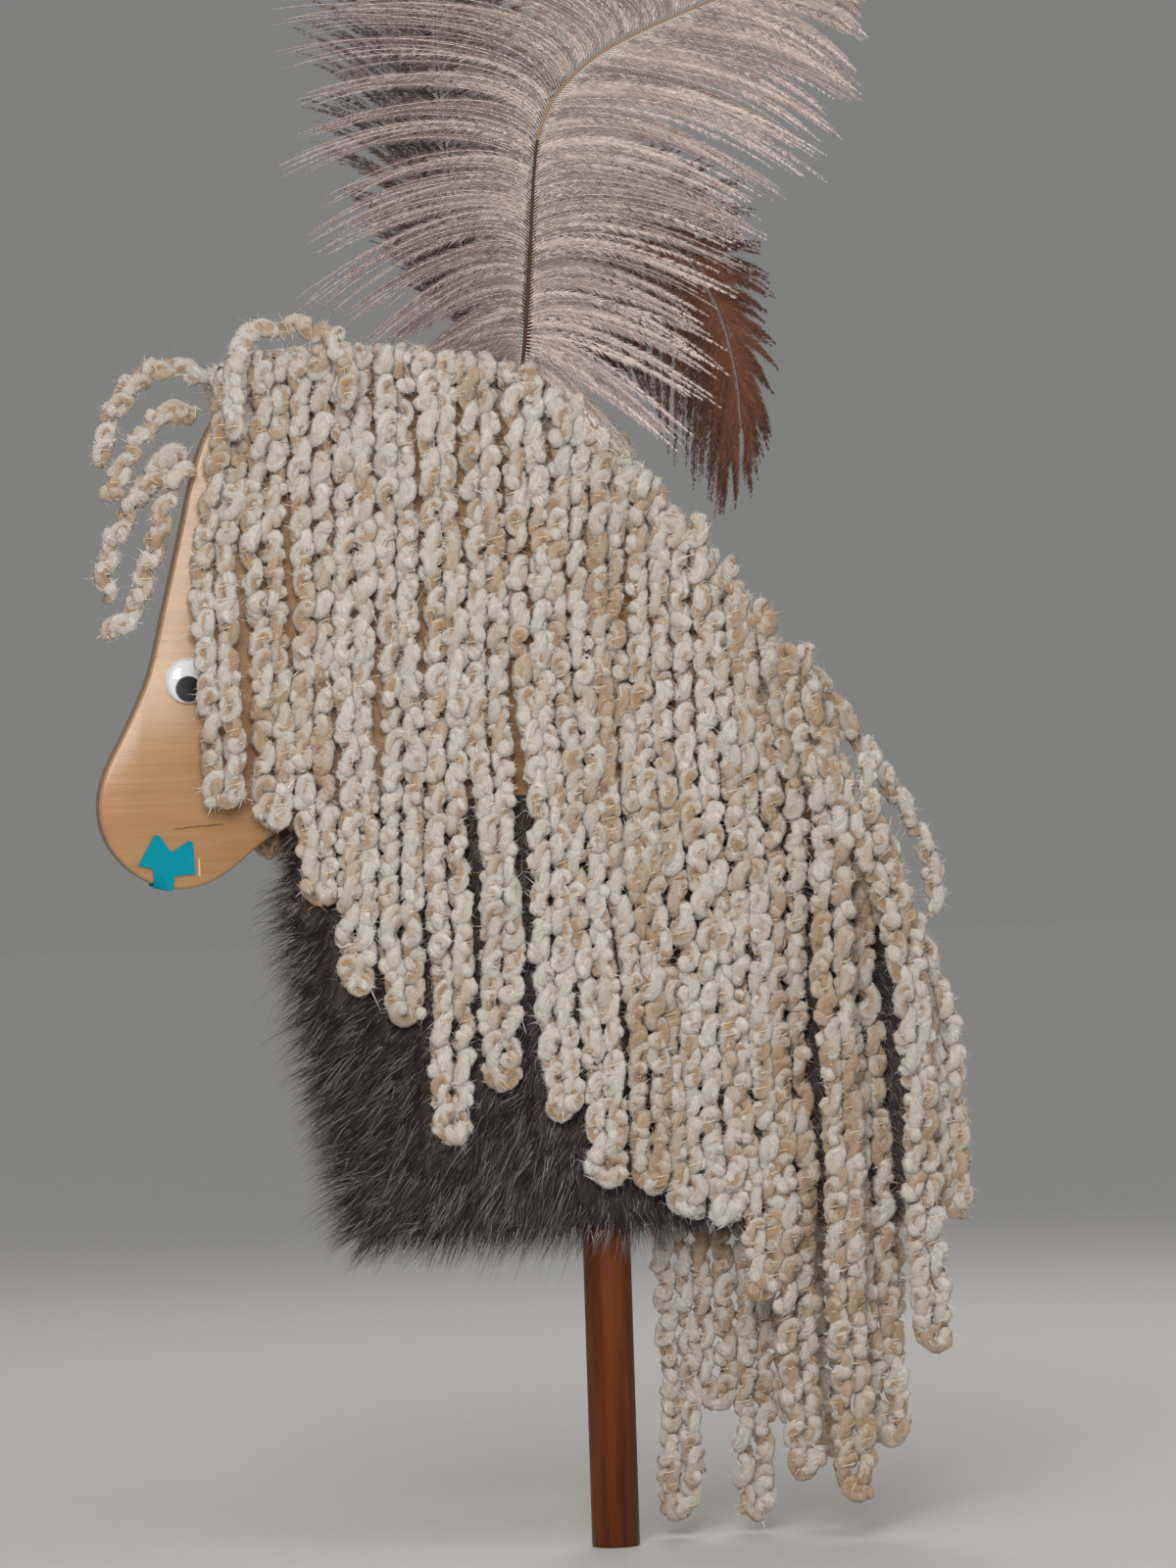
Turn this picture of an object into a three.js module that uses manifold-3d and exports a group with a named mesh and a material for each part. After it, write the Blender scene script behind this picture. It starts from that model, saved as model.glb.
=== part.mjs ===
// Horse-head stick puppet: a plywood head on a dowel, with a yarn mane, a fur neck, googly eyes
// and three plumes.
// Millimetres, +Z up. The origin is the centre of the dowel's flat bottom end. The nose points along -X and
// the flank called "near" faces -Y.
import * as THREE from 'three';
import { mergeVertices } from 'three/addons/utils/BufferGeometryUtils.js';
import Module from 'manifold-3d';

const wasm = await Module();
wasm.setup();

// Driving dimensions
const GAP = 0.3; // between pieces that touch
const BOARD_T = 9.5; // plywood
const BOARD_R = 1.5; // rounding of the board's edges
const HALF_T = BOARD_T / 2;
const STICK_R = 11;
const STICK_TOP = 243;
const NECK_BASE = 148; // height of the board's lower edge
const SLOT_W = BOARD_T + 2 * GAP;
const STICK_CHAMFER = { foot: 0.8, top: 1.5 };
const SCREW_HEIGHTS = [176, 214];
const SCREW = { headR: 3.5, headH: 2.2, shankR: 1.75, length: 19.9, pointH: 2, faceY: 10.4 };
const TAPE_T = 0.8;
const TAPE_DEPTH = 8; // how far the tape folds down each flank
const FUR_T = 5; // backing and the pile that the locks press down
const FUR_BULGE_R = 14.5; // where it passes over the dowel
const FUR_BULGE_TOP = 252;
const FUR_TOP = 345;
const PELT = { low: 100, high: 400, reach: 300, deep: 40 }; // a block that holds one flank's pelt
const EYE = { x: -188.8, z: 402.2, r: 10.3, baseT: 1.2, chamfer: 0.3, domeH: 4.8, collarH: 1.9, wall: 0.6,
  pupilR: 5.8, pupilT: 1, play: 0.15 };
const PUPIL_DROP = EYE.r - EYE.wall - EYE.pupilR - EYE.play;
const PATCH_T = 0.8;
const PATCH_STEM = [-207.3, -198.2]; // the strip that wraps the jaw's edge, in X
const PATCH_STEM_TOP = 320;
const LOCK_R = 7.5; // a doubled strand of yarn
const STRAND_R = 5.5; // a single strand
const LAYER = 2 * LOCK_R + 0.8;
const LOCK_SIDES = 8;
const LOCK_STEP = 34; // between the sections of a lock's tube
const LOCK_PLAY = 0.15; // more than the gap, because a faceted tube's route is smoothed
const LOCK_RISE = 11; // from the crest to the middle of a lock's first section
const ROUTE_STEP = 28; // between the points of a lock's route
const SETTLE = 90; // how far a lock falls before it hangs in its own place
const LEAN_FROM = 60; // how far it falls before it leans to its loop end
const SWAY = { size: 1.2, reach: 24, turn: 1.7 };
const FAR_TURN = 40; // keeps the far flank's sway out of step with the near one's
const QUILL_R = 1.6;
const QUILL_DEPTH = 22; // of the hole in the board's top edge
const VANE_T = 5;

// Where the surface under the locks rises: how far past the fur's top, the dowel's bulge and the
// eye it does so
const FUR_SLOPE = [12, 40];
const BULGE_SLOPE = { x: [19, 27], z: [12, 44] };
const EYE_SLOPE = { x: [16, 24], z: [34, 62] };

// The board's outline in X and Z, as stretches of one smooth curve each
const FACE = [[-163, 531], [-174, 518], [-182, 500], [-190, 468], [-199, 433], [-206, 406], [-216, 384],
  [-228, 361], [-231, 344], [-227, 329], [-217, 317], [-204, 310], [-190, 308.5], [-174, 314.5],
  [-155, 329], [-141, 337]];
const THROAT = [[-136, 325], [-134, 292], [-127, 242], [-115, 183], [-109, NECK_BASE]];
const CREST = [[133, NECK_BASE], [140, 190], [137, 240], [126, 300], [110, 340], [81, 403],
  [47, 448], [13, 489],
  [-12, 514], [-36, 530], [-75, 537], [-115, 538], [-145, 536], [-163, 531]];
const TAPE_LOW = 290; // the tape runs from this height on the back edge to the forehead
const FUR_FRONT = [[-141, 334], [-139.5, 292], [-132, 242], [-120.5, 183], [-114.5, NECK_BASE + 0.4]];
const FUR_BACK = [[138.3, NECK_BASE + 0.4], [145.3, 190], [142.3, 240], [136, 278]];
const FUR_UPPER = [[120, 288], [96, 318], [60, 336], [0, FUR_TOP], [-60, FUR_TOP], [-122, 338]];

// Each plume: root along the crest, the plane its vane lies in, its quill and the vane's outline in X and Z
const PLUMES = [
  { name: 'plume_pale', color: '#a2938a', rootX: -28, y: -9,
    quill: [[-27, 560], [-24, 592], [-20.4, 634], [-16.2, 653], [-5.6, 670], [17.8, 688],
      [64, 708], [101, 719],
      [126, 712]],
    vane: [[-34, 553], [-120, 560], [-141, 592], [-153, 640], [-155, 690], [-128, 724], [-60, 731], [0, 738],
      [62, 746], [112, 741], [141, 716], [134, 672], [98, 612], [74, 570], [54, 520], [33, 499], [12, 516],
      [-14, 543]] },
  { name: 'plume_rust', color: '#5c2d18', rootX: -17, y: 3,
    quill: [[-15, 566], [4, 590], [28, 602], [52, 594], [68, 570], [76, 540], [78, 512]],
    vane: [[-22, 566], [-30, 600], [-8, 636], [30, 650], [68, 640], [92, 608], [97, 560],
      [93, 500], [74, 476],
      [52, 492], [36, 524], [8, 556]] },
  { name: 'plume_dark', color: '#30211a', rootX: -39, y: 12,
    quill: [[-42, 562], [-50, 600], [-58, 650], [-60, 700], [-56, 738]],
    vane: [[-40, 556], [-88, 590], [-118, 640], [-128, 700], [-104, 742], [-50, 750], [0, 742],
      [14, 700], [2, 640],
      [-16, 584]] },
];

// Each lock of the mane: where it is sewn along the crest, where it hangs, its loop end in X and
// Z, and how far it
// lies out over its neighbours
const NEAR_LOCKS = [
  [-161, -176.5, -177.5, 346], [-146, -154, -153, 335], [-129, -132, -134, 301], [-111, -112, -117, 259],
  [-92, -91.5, -96, 247], [-73, -71, -75, 189], [-54, -51.5, -50.5, 214], [-35, -31, -24, 199],
  [-16, -12.5, -5, 167], [2, 4.5, 17, 164], [19, 24, 35, 152], [36, 46, 53, 147],
  [52, 66, 69, 112], [67, 85, 86, 29], [81, 103, 105, 21, LAYER], [94, 118, 126, 43],
  [105, 138, 145, 87, LAYER], [121, 156, 163, 145],
];
const FAR_LOCKS = [
  [-157, -166, -168, 352], [-138, -144, -147, 322], [-120, -122, -122, 288], [-101, -102, -106, 262],
  [-82, -81, -84, 226], [-63, -61, -60, 238], [-44, -41, -38, 196], [-25, -22, -20, 186],
  [-7, -2, -1, 176], [11, 17, 20, 158], [28, 36, 37, 9], [44, 55, 55, 60],
  [60, 75, 74, 8], [75, 94, 93, 52], [89, 113, 117, 34, LAYER], [102, 131, 139, 96],
];

// Strands that don't hang with the mane, as points chosen one by one
const FORELOCKS = [
  [[-177, 0, 541], [-191, 0, 544], [-206, 0, 539], [-217, 0, 526], [-222, 0, 514], [-224.5, 0, 503]],
  [[-180.5, -3, 521], [-191, -6, 524], [-203, -7, 517], [-211, -7, 506.5], [-217.5, -7, 496],
  [-221.5, -7, 485]],
  [[-187.5, -2, 507], [-194, -2, 503.5], [-201.5, -3, 494], [-210, -4, 484], [-216, -4, 473],
  [-221.5, -3, 463],
    [-225, -2, 452], [-224, -2, 441.5]],
  [[-190, -15, 497], [-197, -15, 486], [-201, -13, 471], [-205, -9, 457], [-208, -5, 443], [-214.5, -3, 431],
    [-226, -3, 424.5]],
];
const CREST_LOOP = [[-168, -29.5, 512], [-168, -29.5, 530], [-165, -26, 547], [-157, -18, 557],
  [-143, -14, 560.5],
  [-130, -15, 560], [-120.5, -22, 555], [-116.5, -29, 541], [-117, -29.5, 526]];
const STRAY_LOCK = [[103, 0, 405], [114, -1, 387], [128, -2, 367], [141, -4, 347], [152, -6, 328],
  [160, -8, 308],
  [160, -9, 287]];

// Builds closed meshes
function material(color, roughness = 0.8, metalness = 0) {
  return new THREE.MeshStandardMaterial({ color, roughness, metalness });
}

function toSolid(geometry) {
  const bare = geometry.clone();
  bare.deleteAttribute('normal');
  bare.deleteAttribute('uv');
  const merged = mergeVertices(bare, 1e-4);
  const triVerts = new Uint32Array(merged.index.array);
  const vertProperties = new Float32Array(merged.attributes.position.array);
  if (signedVolume(vertProperties, triVerts) < 0) {
    triVerts.reverse();
  }
  return new wasm.Manifold(new wasm.Mesh({ numProp: 3, vertProperties, triVerts }));
}

function signedVolume(points, triangles) {
  let volume = 0;
  const corner = (i) => new THREE.Vector3().fromArray(points, 3 * triangles[i]);
  for (let i = 0; i < triangles.length; i += 3) {
    volume += corner(i).dot(corner(i + 1).cross(corner(i + 2))) / 6;
  }
  return volume;
}

function toGeometry(solid) {
  const mesh = solid.getMesh();
  const geometry = new THREE.BufferGeometry();
  geometry.setAttribute('position', new THREE.BufferAttribute(mesh.vertProperties, 3));
  geometry.setIndex(new THREE.BufferAttribute(mesh.triVerts, 1));
  geometry.computeVertexNormals();
  return geometry;
}

function namedMesh(name, solid, look) {
  const mesh = new THREE.Mesh(toGeometry(solid), look);
  mesh.name = name;
  return mesh;
}

// Outlines are lists of Vector2 holding X and Z.
function smooth(points, divisions) {
  return new THREE.SplineCurve(points.map(([x, z]) => new THREE.Vector2(x, z))).getPoints(divisions);
}

function straight(points) {
  return points.map(([x, z]) => new THREE.Vector2(x, z));
}

function grown(outline, by) {
  const area = THREE.ShapeUtils.area(outline);
  return outline.map((point, i) => {
    const before = outline[(i + outline.length - 1) % outline.length];
    const after = outline[(i + 1) % outline.length];
    const along = after.clone().sub(before).normalize().multiplyScalar(Math.sign(area));
    return new THREE.Vector2(point.x + along.y * by, point.y - along.x * by);
  });
}

// A plate with its outline in X and Z, from y0 to y1
function plate(outline, y0, y1, rounding = 0) {
  const shape = new THREE.Shape(outline.map((p) => new THREE.Vector2(p.x, -p.y)));
  const geometry = new THREE.ExtrudeGeometry(shape, {
    depth: y1 - y0 - 2 * rounding,
    bevelEnabled: rounding > 0,
    bevelThickness: rounding,
    bevelSize: rounding,
    bevelOffset: -rounding,
    bevelSegments: 2,
  });
  // The shape's plane is turned upright: its y becomes -Z and its depth becomes +Y.
  geometry.rotateX(-Math.PI / 2);
  geometry.translate(0, y0 + rounding, 0);
  return toSolid(geometry);
}

function box(x0, x1, y0, y1, z0, z1) {
  const geometry = new THREE.BoxGeometry(x1 - x0, y1 - y0, z1 - z0);
  geometry.translate((x0 + x1) / 2, (y0 + y1) / 2, (z0 + z1) / 2);
  return toSolid(geometry);
}

function uprightCylinder(r, z0, z1, sides = 40) {
  const geometry = new THREE.CylinderGeometry(r, r, z1 - z0, sides);
  geometry.rotateX(Math.PI / 2);
  geometry.translate(0, 0, (z0 + z1) / 2);
  return toSolid(geometry);
}

// A turned piece whose axis points along side * Y, from a profile of [radius, distance along the axis]
function turned(profile, x, y, z, side, sides = 32) {
  const geometry = new THREE.LatheGeometry(profile.map(([r, d]) => new THREE.Vector2(r, d)), sides);
  if (side < 0) {
    geometry.rotateZ(Math.PI);
  }
  geometry.translate(x, y, z);
  return toSolid(geometry);
}

function tube(points, r, sides = LOCK_SIDES, step = LOCK_STEP) {
  const path = new THREE.CatmullRomCurve3(points.map((p) => new THREE.Vector3(...p)), false, 'centripetal');
  const section = new THREE.Shape();
  for (let i = 0; i < sides; i++) {
    const angle = (2 * Math.PI * (i + 0.5)) / sides;
    const corner = [r * Math.cos(angle), r * Math.sin(angle)];
    if (i === 0) section.moveTo(...corner);
    else section.lineTo(...corner);
  }
  section.closePath();
  const steps = Math.max(2, Math.round(path.getLength() / step));
  return toSolid(new THREE.ExtrudeGeometry(section, { steps, bevelEnabled: false, extrudePath: path }));
}

// Head board, dowel, screws
const crest = smooth(CREST, 56);
const boardOutline = [...smooth(FACE, 48).slice(0, -1), ...smooth(THROAT, 14), ...crest.slice(0, -1)];

function crestAt(x) {
  for (let i = crest.length - 1; i > 0; i--) {
    const [a, b] = [crest[i], crest[i - 1]];
    if (a.x <= x && x <= b.x && a.y > TAPE_LOW) {
      const t = (x - a.x) / (b.x - a.x);
      const along = b.clone().sub(a).normalize();
      return { z: a.y + t * (b.y - a.y), nx: -along.y, nz: along.x };
    }
  }
  throw new Error(`no crest at ${x}`);
}

function quillPath(plume) {
  const { z } = crestAt(plume.rootX);
  return [[plume.rootX, 0, z - QUILL_DEPTH + 1], [plume.rootX, 0, z - 8], [plume.rootX, 0, z + 5],
    [plume.rootX, plume.y * 0.5, z + 16], ...plume.quill.map(([x, height]) => [x, plume.y, height])];
}

function quillHole({ rootX }) {
  const { z } = crestAt(rootX);
  return uprightCylinder(QUILL_R + 1.5 * GAP, z - QUILL_DEPTH, z + 8, 16).translate(rootX, 0, 0);
}

function screwSolid(z, extra = 0) {
  const { headR, headH, shankR, length, pointH, faceY } = SCREW;
  const profile = [[0, -extra], [headR + extra, -extra], [shankR + extra, headH + extra],
    [shankR + extra, length - pointH], [0, length + extra]];
  return turned(profile, 0, faceY, z, -1, 20);
}

const screwHoles = SCREW_HEIGHTS.map((z) => screwSolid(z, GAP));

function headBoard() {
  let solid = plate(boardOutline, -HALF_T, HALF_T, BOARD_R);
  for (const hole of screwHoles) solid = solid.subtract(hole);
  for (const plume of PLUMES) solid = solid.subtract(quillHole(plume));
  return solid;
}

function stick() {
  const { foot, top } = STICK_CHAMFER;
  const profile = [[0, 0], [STICK_R - foot, 0], [STICK_R, foot], [STICK_R, STICK_TOP - top],
    [STICK_R - top, STICK_TOP], [0, STICK_TOP]];
  const geometry = new THREE.LatheGeometry(profile.map(([r, d]) => new THREE.Vector2(r, d)), 40);
  geometry.rotateX(Math.PI / 2);
  const slot = box(-STICK_R - 2, STICK_R + 2, -SLOT_W / 2, SLOT_W / 2, NECK_BASE - GAP, STICK_TOP + 2);
  let solid = toSolid(geometry).subtract(slot);
  for (const hole of screwHoles) solid = solid.subtract(hole);
  return solid;
}

// Mane tape along the crest
function crestBand(outer, inner, halfWidth) {
  const run = crest.slice(crest.findIndex((point) => point.y > TAPE_LOW));
  const offset = (by) => run.map((point, i) => {
    const along = run[Math.min(i + 1, run.length - 1)].clone().sub(run[Math.max(i - 1, 0)]).normalize();
    return new THREE.Vector2(point.x + along.y * by, point.y - along.x * by);
  });
  return plate([...offset(outer), ...offset(-inner).reverse()], -halfWidth, halfWidth);
}

function maneTape() {
  const skin = crestBand(GAP + TAPE_T, TAPE_DEPTH, HALF_T + GAP + TAPE_T);
  let solid = skin.subtract(crestBand(GAP, TAPE_DEPTH + 5, HALF_T + GAP));
  for (const plume of PLUMES) solid = solid.subtract(quillHole(plume));
  return solid;
}

// Fur, one pelt on each flank, lapping half way round the neck's edges
function fur(side) {
  const outline = [...smooth(FUR_FRONT, 12), ...smooth(FUR_BACK, 10), ...smooth(FUR_UPPER, 14)];
  const outside = HALF_T + GAP + FUR_T;
  const half = side < 0 ? [-PELT.deep, -GAP / 2] : [GAP / 2, PELT.deep];
  const hollow = plate(grown(boardOutline, GAP), -HALF_T - GAP, HALF_T + GAP);
  return plate(outline, -outside, outside)
    .add(uprightCylinder(FUR_BULGE_R, NECK_BASE + 0.4, FUR_BULGE_TOP, 32))
    .subtract(hollow)
    .subtract(uprightCylinder(STICK_R + GAP, NECK_BASE - 5, STICK_TOP + GAP, 32))
    .subtract(crestBand(GAP + TAPE_T + GAP, TAPE_DEPTH + GAP, HALF_T + GAP + TAPE_T + GAP))
    .intersect(box(-PELT.reach, PELT.reach, half[0], half[1], PELT.low, PELT.high));
}

// Googly eyes: backing disc, loose pupil and clear dome
function eyeParts(side) {
  const { x, z, r, baseT, chamfer, domeH, collarH, wall, pupilR, pupilT } = EYE;
  const at = (distance) => side * (HALF_T + GAP + distance);
  const disc = [[0, 0], [r, 0], [r, baseT - chamfer], [r - chamfer, baseT], [0, baseT]];
  const base = turned(disc, x, at(0), z, side, 40);
  const arc = (radius, foot, height) => Array.from({ length: 9 }, (_, i) => {
    const angle = (i / 8) * (Math.PI / 2);
    return [radius * Math.cos(angle), foot + (height - foot) * Math.sin(angle)];
  });
  const shell = [...arc(r, collarH, domeH), ...arc(r - wall, collarH, domeH - wall).reverse()];
  const profile = [[r - wall, 0], [r, 0], ...shell];
  const dome = turned([...profile, profile[0]], x, at(baseT + GAP), z, side, 40);
  const coin = [[0, 0], [pupilR, 0], [pupilR, pupilT], [0, pupilT]];
  const pupil = turned(coin, x, at(baseT + 2 * GAP), z - PUPIL_DROP, side, 32);
  return { base, dome, pupil };
}

// Muzzle patch: a bow on each flank, joined by a strip round the edge of the jaw
function muzzlePatch() {
  const bow = straight([[-206.2, 333], [-204, 332.6], [-198.6, 325], [-190.6, 330],
    [-188.8, 329.5], [-187.9, 314.8],
    [-197.6, 314.3], [-197.6, 311.6], [-207.2, 314], [-207.4, 317.8], [-214.2, 319.5]]);
  const inner = HALF_T + GAP;
  const band = plate(grown(boardOutline, GAP + PATCH_T), -inner - PATCH_T, inner + PATCH_T)
    .subtract(plate(grown(boardOutline, GAP), -inner, inner))
    .intersect(box(...PATCH_STEM, -BOARD_T, BOARD_T, NECK_BASE, PATCH_STEM_TOP));
  return band.add(plate(bow, -inner - PATCH_T, -inner)).add(plate(bow, inner, inner + PATCH_T));
}

function plumeSolid(plume) {
  const vane = plate(smooth([...plume.vane, plume.vane[0]], 40).slice(0, -1), plume.y - VANE_T / 2,
    plume.y + VANE_T / 2);
  return vane.add(tube(quillPath(plume), QUILL_R, 10, 9));
}

// How far out the surface under a lock is, from the middle of the board
function surfaceUnder(x, z) {
  const blend = (low, high, value) => THREE.MathUtils.smoothstep(value, low, high);
  const flank = HALF_T + 2 * GAP + TAPE_T;
  const furred = HALF_T + GAP + FUR_T;
  const overFur = furred + (flank - furred) * blend(...FUR_SLOPE, z - FUR_TOP);
  const clear = (slope, value) => 1 - blend(...slope, value);
  const nearStick = clear(BULGE_SLOPE.x, Math.abs(x)) * clear(BULGE_SLOPE.z, z - FUR_BULGE_TOP);
  const nearEye = clear(EYE_SLOPE.x, Math.abs(x - EYE.x)) * clear(EYE_SLOPE.z, Math.abs(z - EYE.z));
  const eyeTop = HALF_T + 2 * GAP + EYE.baseT + EYE.domeH;
  return overFur + (FUR_BULGE_R - overFur) * nearStick + (eyeTop - flank) * nearEye;
}

// A lock starts just above the crest, leans out to its own place and hangs down to its loop end.
function lockRoute([rootX, hangX, tipX, tipZ, lift = 0], side, index) {
  const { z, nx, nz } = crestAt(rootX);
  const top = { x: rootX + LOCK_RISE * nx, z: z + LOCK_RISE * nz };
  const drop = top.z - tipZ;
  const count = Math.max(4, Math.round(drop / ROUTE_STEP));
  const route = [];
  for (let i = 0; i <= count; i++) {
    const fallen = (i / count) * drop;
    const height = top.z - fallen;
    const settle = THREE.MathUtils.smoothstep(fallen, 0, SETTLE);
    const lower = THREE.MathUtils.smoothstep(fallen, LEAN_FROM, drop);
    const sway = SWAY.size * Math.sin(fallen / SWAY.reach + index * SWAY.turn) * settle;
    const x = top.x + (hangX - top.x) * settle + (tipX - hangX) * lower + sway;
    route.push([x, side * (surfaceUnder(x, height) + GAP + LOCK_R + LOCK_PLAY + lift), height]);
  }
  return route;
}

// Assembly
const puppet = new THREE.Group();
const yarn = () => material('#cdb797', 0.95);

puppet.add(namedMesh('stick', stick(), material('#8a4a1c', 0.35)));
puppet.add(namedMesh('head_board', headBoard(), material('#c39055', 0.4)));
SCREW_HEIGHTS.forEach((z, i) => {
  puppet.add(namedMesh(`cross_screw_${i + 1}`, screwSolid(z), material('#9a9a98', 0.35, 0.9)));
});
puppet.add(namedMesh('mane_tape', maneTape(), material('#b39b7c', 0.9)));
puppet.add(namedMesh('muzzle_patch', muzzlePatch(), material('#00959f', 0.7)));

for (const [flank, side] of [['near', -1], ['far', 1]]) {
  puppet.add(namedMesh(`fur_${flank}`, fur(side), material('#2a2320', 0.9)));
  const { base, dome, pupil } = eyeParts(side);
  puppet.add(namedMesh(`eye_base_${flank}`, base, material('#f2f2f4', 0.4)));
  puppet.add(namedMesh(`eye_pupil_${flank}`, pupil, material('#101012', 0.3)));
  puppet.add(namedMesh(`eye_dome_${flank}`, dome, material('#e8eef2', 0.05)));
}

for (const plume of PLUMES) {
  puppet.add(namedMesh(plume.name, plumeSolid(plume), material(plume.color, 0.9)));
}

NEAR_LOCKS.forEach((lock, i) => {
  const name = `lock_near_${String(i + 1).padStart(2, '0')}`;
  puppet.add(namedMesh(name, tube(lockRoute(lock, -1, i), LOCK_R), yarn()));
});
FAR_LOCKS.forEach((lock, i) => {
  const name = `lock_far_${String(i + 1).padStart(2, '0')}`;
  puppet.add(namedMesh(name, tube(lockRoute(lock, 1, i + FAR_TURN), LOCK_R), yarn()));
});
FORELOCKS.forEach((points, i) => {
  puppet.add(namedMesh(`forelock_${i + 1}`, tube(points, STRAND_R, LOCK_SIDES, 14), yarn()));
});
puppet.add(namedMesh('crest_loop', tube(CREST_LOOP, STRAND_R, LOCK_SIDES, 14), yarn()));
puppet.add(namedMesh('stray_lock', tube(STRAY_LOCK, STRAND_R, LOCK_SIDES, 24), yarn()));

export default puppet;
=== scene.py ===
"""Horse-head stick puppet: plywood head on a dowel, boucle mane, fur neck, googly eyes and three plumes."""

import logging
import math
from collections.abc import Callable
from dataclasses import dataclass, field
from enum import Enum

import bpy
import numpy as np
from mathutils import Matrix, Vector


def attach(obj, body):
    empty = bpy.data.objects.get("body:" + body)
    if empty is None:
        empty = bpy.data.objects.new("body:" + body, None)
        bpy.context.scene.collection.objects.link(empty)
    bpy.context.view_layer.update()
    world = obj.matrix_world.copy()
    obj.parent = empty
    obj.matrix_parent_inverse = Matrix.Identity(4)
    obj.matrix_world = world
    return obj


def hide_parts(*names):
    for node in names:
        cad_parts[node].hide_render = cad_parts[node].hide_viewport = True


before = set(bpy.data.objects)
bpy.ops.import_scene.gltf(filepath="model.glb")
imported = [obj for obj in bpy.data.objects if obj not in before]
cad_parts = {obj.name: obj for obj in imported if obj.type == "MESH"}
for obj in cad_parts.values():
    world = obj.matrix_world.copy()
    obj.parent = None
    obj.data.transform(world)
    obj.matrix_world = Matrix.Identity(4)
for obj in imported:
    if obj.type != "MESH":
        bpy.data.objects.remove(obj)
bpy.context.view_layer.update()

LOG = logging.getLogger("stick_puppet")
MM = 0.001
PUPPET = "puppet"

# Sizes that the pieces share with the frame, in millimetres
GAP = 0.3  # between pieces that are glued or sewn together
LOWEST = 0.2  # no yarn, hair or barb hangs below this height
HALF_T = 4.75  # half of the board's thickness
TAPE_T = 0.8
TAPE_LOW = 290  # the mane is sewn above this height
FUR_T = 5
FUR_TOP = 345
BULGE_R = 14.5  # the fur's rise over the dowel, and how high it goes
BULGE_TOP = 252
EYE_X, EYE_Z = -188.8, 402.2
EYE_BASE_T = 1.2
EYE_DOME_H = 4.8
LOCK_R = 7.5
LOCK_PLAY = 0.15  # between a lock and what it lies on
LOCK_RISE = 11  # from the crest to a lock's start
LAYER = 2 * LOCK_R + 0.8  # how far out a lock lies over its neighbours
FAR_LOCKS = 40  # added to a far lock's number, so that its draws differ from a near one's
CREST = [(133, 148), (140, 190), (137, 240), (126, 300), (110, 340), (81, 403), (47, 448), (13, 489),
         (-12, 514), (-36, 530), (-75, 537), (-115, 538), (-145, 536), (-163, 531)]


def smooth_run(points: list, step: float) -> tuple[np.ndarray, np.ndarray]:
    """Draws one smooth curve through points and spaces it evenly.

    Args:
        points: places in two or three dimensions.
        step: the distance between the places returned.

    Returns:
        The places along the curve, and each one's distance from its start.
    """
    places = np.asarray(points, float)
    ends = np.vstack([2 * places[0] - places[1], places, 2 * places[-1] - places[-2]])
    share = np.linspace(0, 1, 24, endpoint=False)[:, None]
    stretches = []
    for a, b, c, d in zip(ends, ends[1:], ends[2:], ends[3:]):
        stretches.append(0.5 * (2 * b + (c - a) * share + (2 * a - 5 * b + 4 * c - d) * share ** 2
                                + (3 * b - a - 3 * c + d) * share ** 3))
    line = np.vstack([*stretches, places[-1:]])
    run = np.concatenate([[0], np.cumsum(np.linalg.norm(np.diff(line, axis=0), axis=1))])
    even = np.linspace(0, run[-1], max(3, round(run[-1] / step) + 1))
    return np.stack([np.interp(even, run, axis) for axis in line.T], 1), even


def wander(rng: np.random.Generator, run: np.ndarray, reach: float) -> np.ndarray:
    """Smooth random values from -1 to 1 along a run of distances, a new one every reach."""
    place = (run - run.min()) / reach
    low = place.astype(int)
    share = place - low
    share = share * share * (3 - 2 * share)
    knots = rng.uniform(-1, 1, low.max() + 2)
    return knots[low] * (1 - share) + knots[low + 1] * share


def unit(vectors: np.ndarray) -> np.ndarray:
    """The same directions with a length of 1."""
    return vectors / np.maximum(np.linalg.norm(vectors, axis=-1, keepdims=True), 1e-12)


def ease(low: float, high: float, value: np.ndarray) -> np.ndarray:
    """A smooth step from 0 at low to 1 at high."""
    share = np.clip((value - low) / (high - low), 0, 1)
    return share * share * (3 - 2 * share)


def mixed(first: np.ndarray, second: np.ndarray, share: np.ndarray) -> np.ndarray:
    """The value between first and second at this share."""
    return first + (second - first) * share


def levelled(values: np.ndarray) -> np.ndarray:
    """Each value averaged with the two before it and the two after it."""
    return np.convolve(np.pad(values, 2, "edge"), np.full(5, 0.2), "valid")


class Value:
    """A number socket that stands in Python expressions."""

    def __init__(self, tree: "Tree", socket: bpy.types.NodeSocket) -> None:
        """Wraps one socket of a tree."""
        self.tree = tree
        self.socket = socket

    def __add__(self, other: "Value | float") -> "Value":
        """Sum."""
        return self.tree.maths("ADD", self, other)

    def __sub__(self, other: "Value | float") -> "Value":
        """Difference."""
        return self.tree.maths("SUBTRACT", self, other)

    def __rsub__(self, other: float) -> "Value":
        """Difference from a plain number."""
        return self.tree.maths("SUBTRACT", other, self)

    def __mul__(self, other: "Value | float") -> "Value":
        """Product."""
        return self.tree.maths("MULTIPLY", self, other)

    __radd__ = __add__
    __rmul__ = __mul__

    def size(self) -> "Value":
        """The value without its sign."""
        return self.tree.maths("ABSOLUTE", self, 0.0)

    def between(self, low: float, high: float) -> "Value":
        """A smooth step from 0 at low to 1 at high."""
        made = self.tree.node("ShaderNodeMapRange", {"interpolation_type": "SMOOTHSTEP"},
                              {"Value": self, "From Min": low, "From Max": high})
        return Value(self.tree, made.outputs["Result"])


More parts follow.
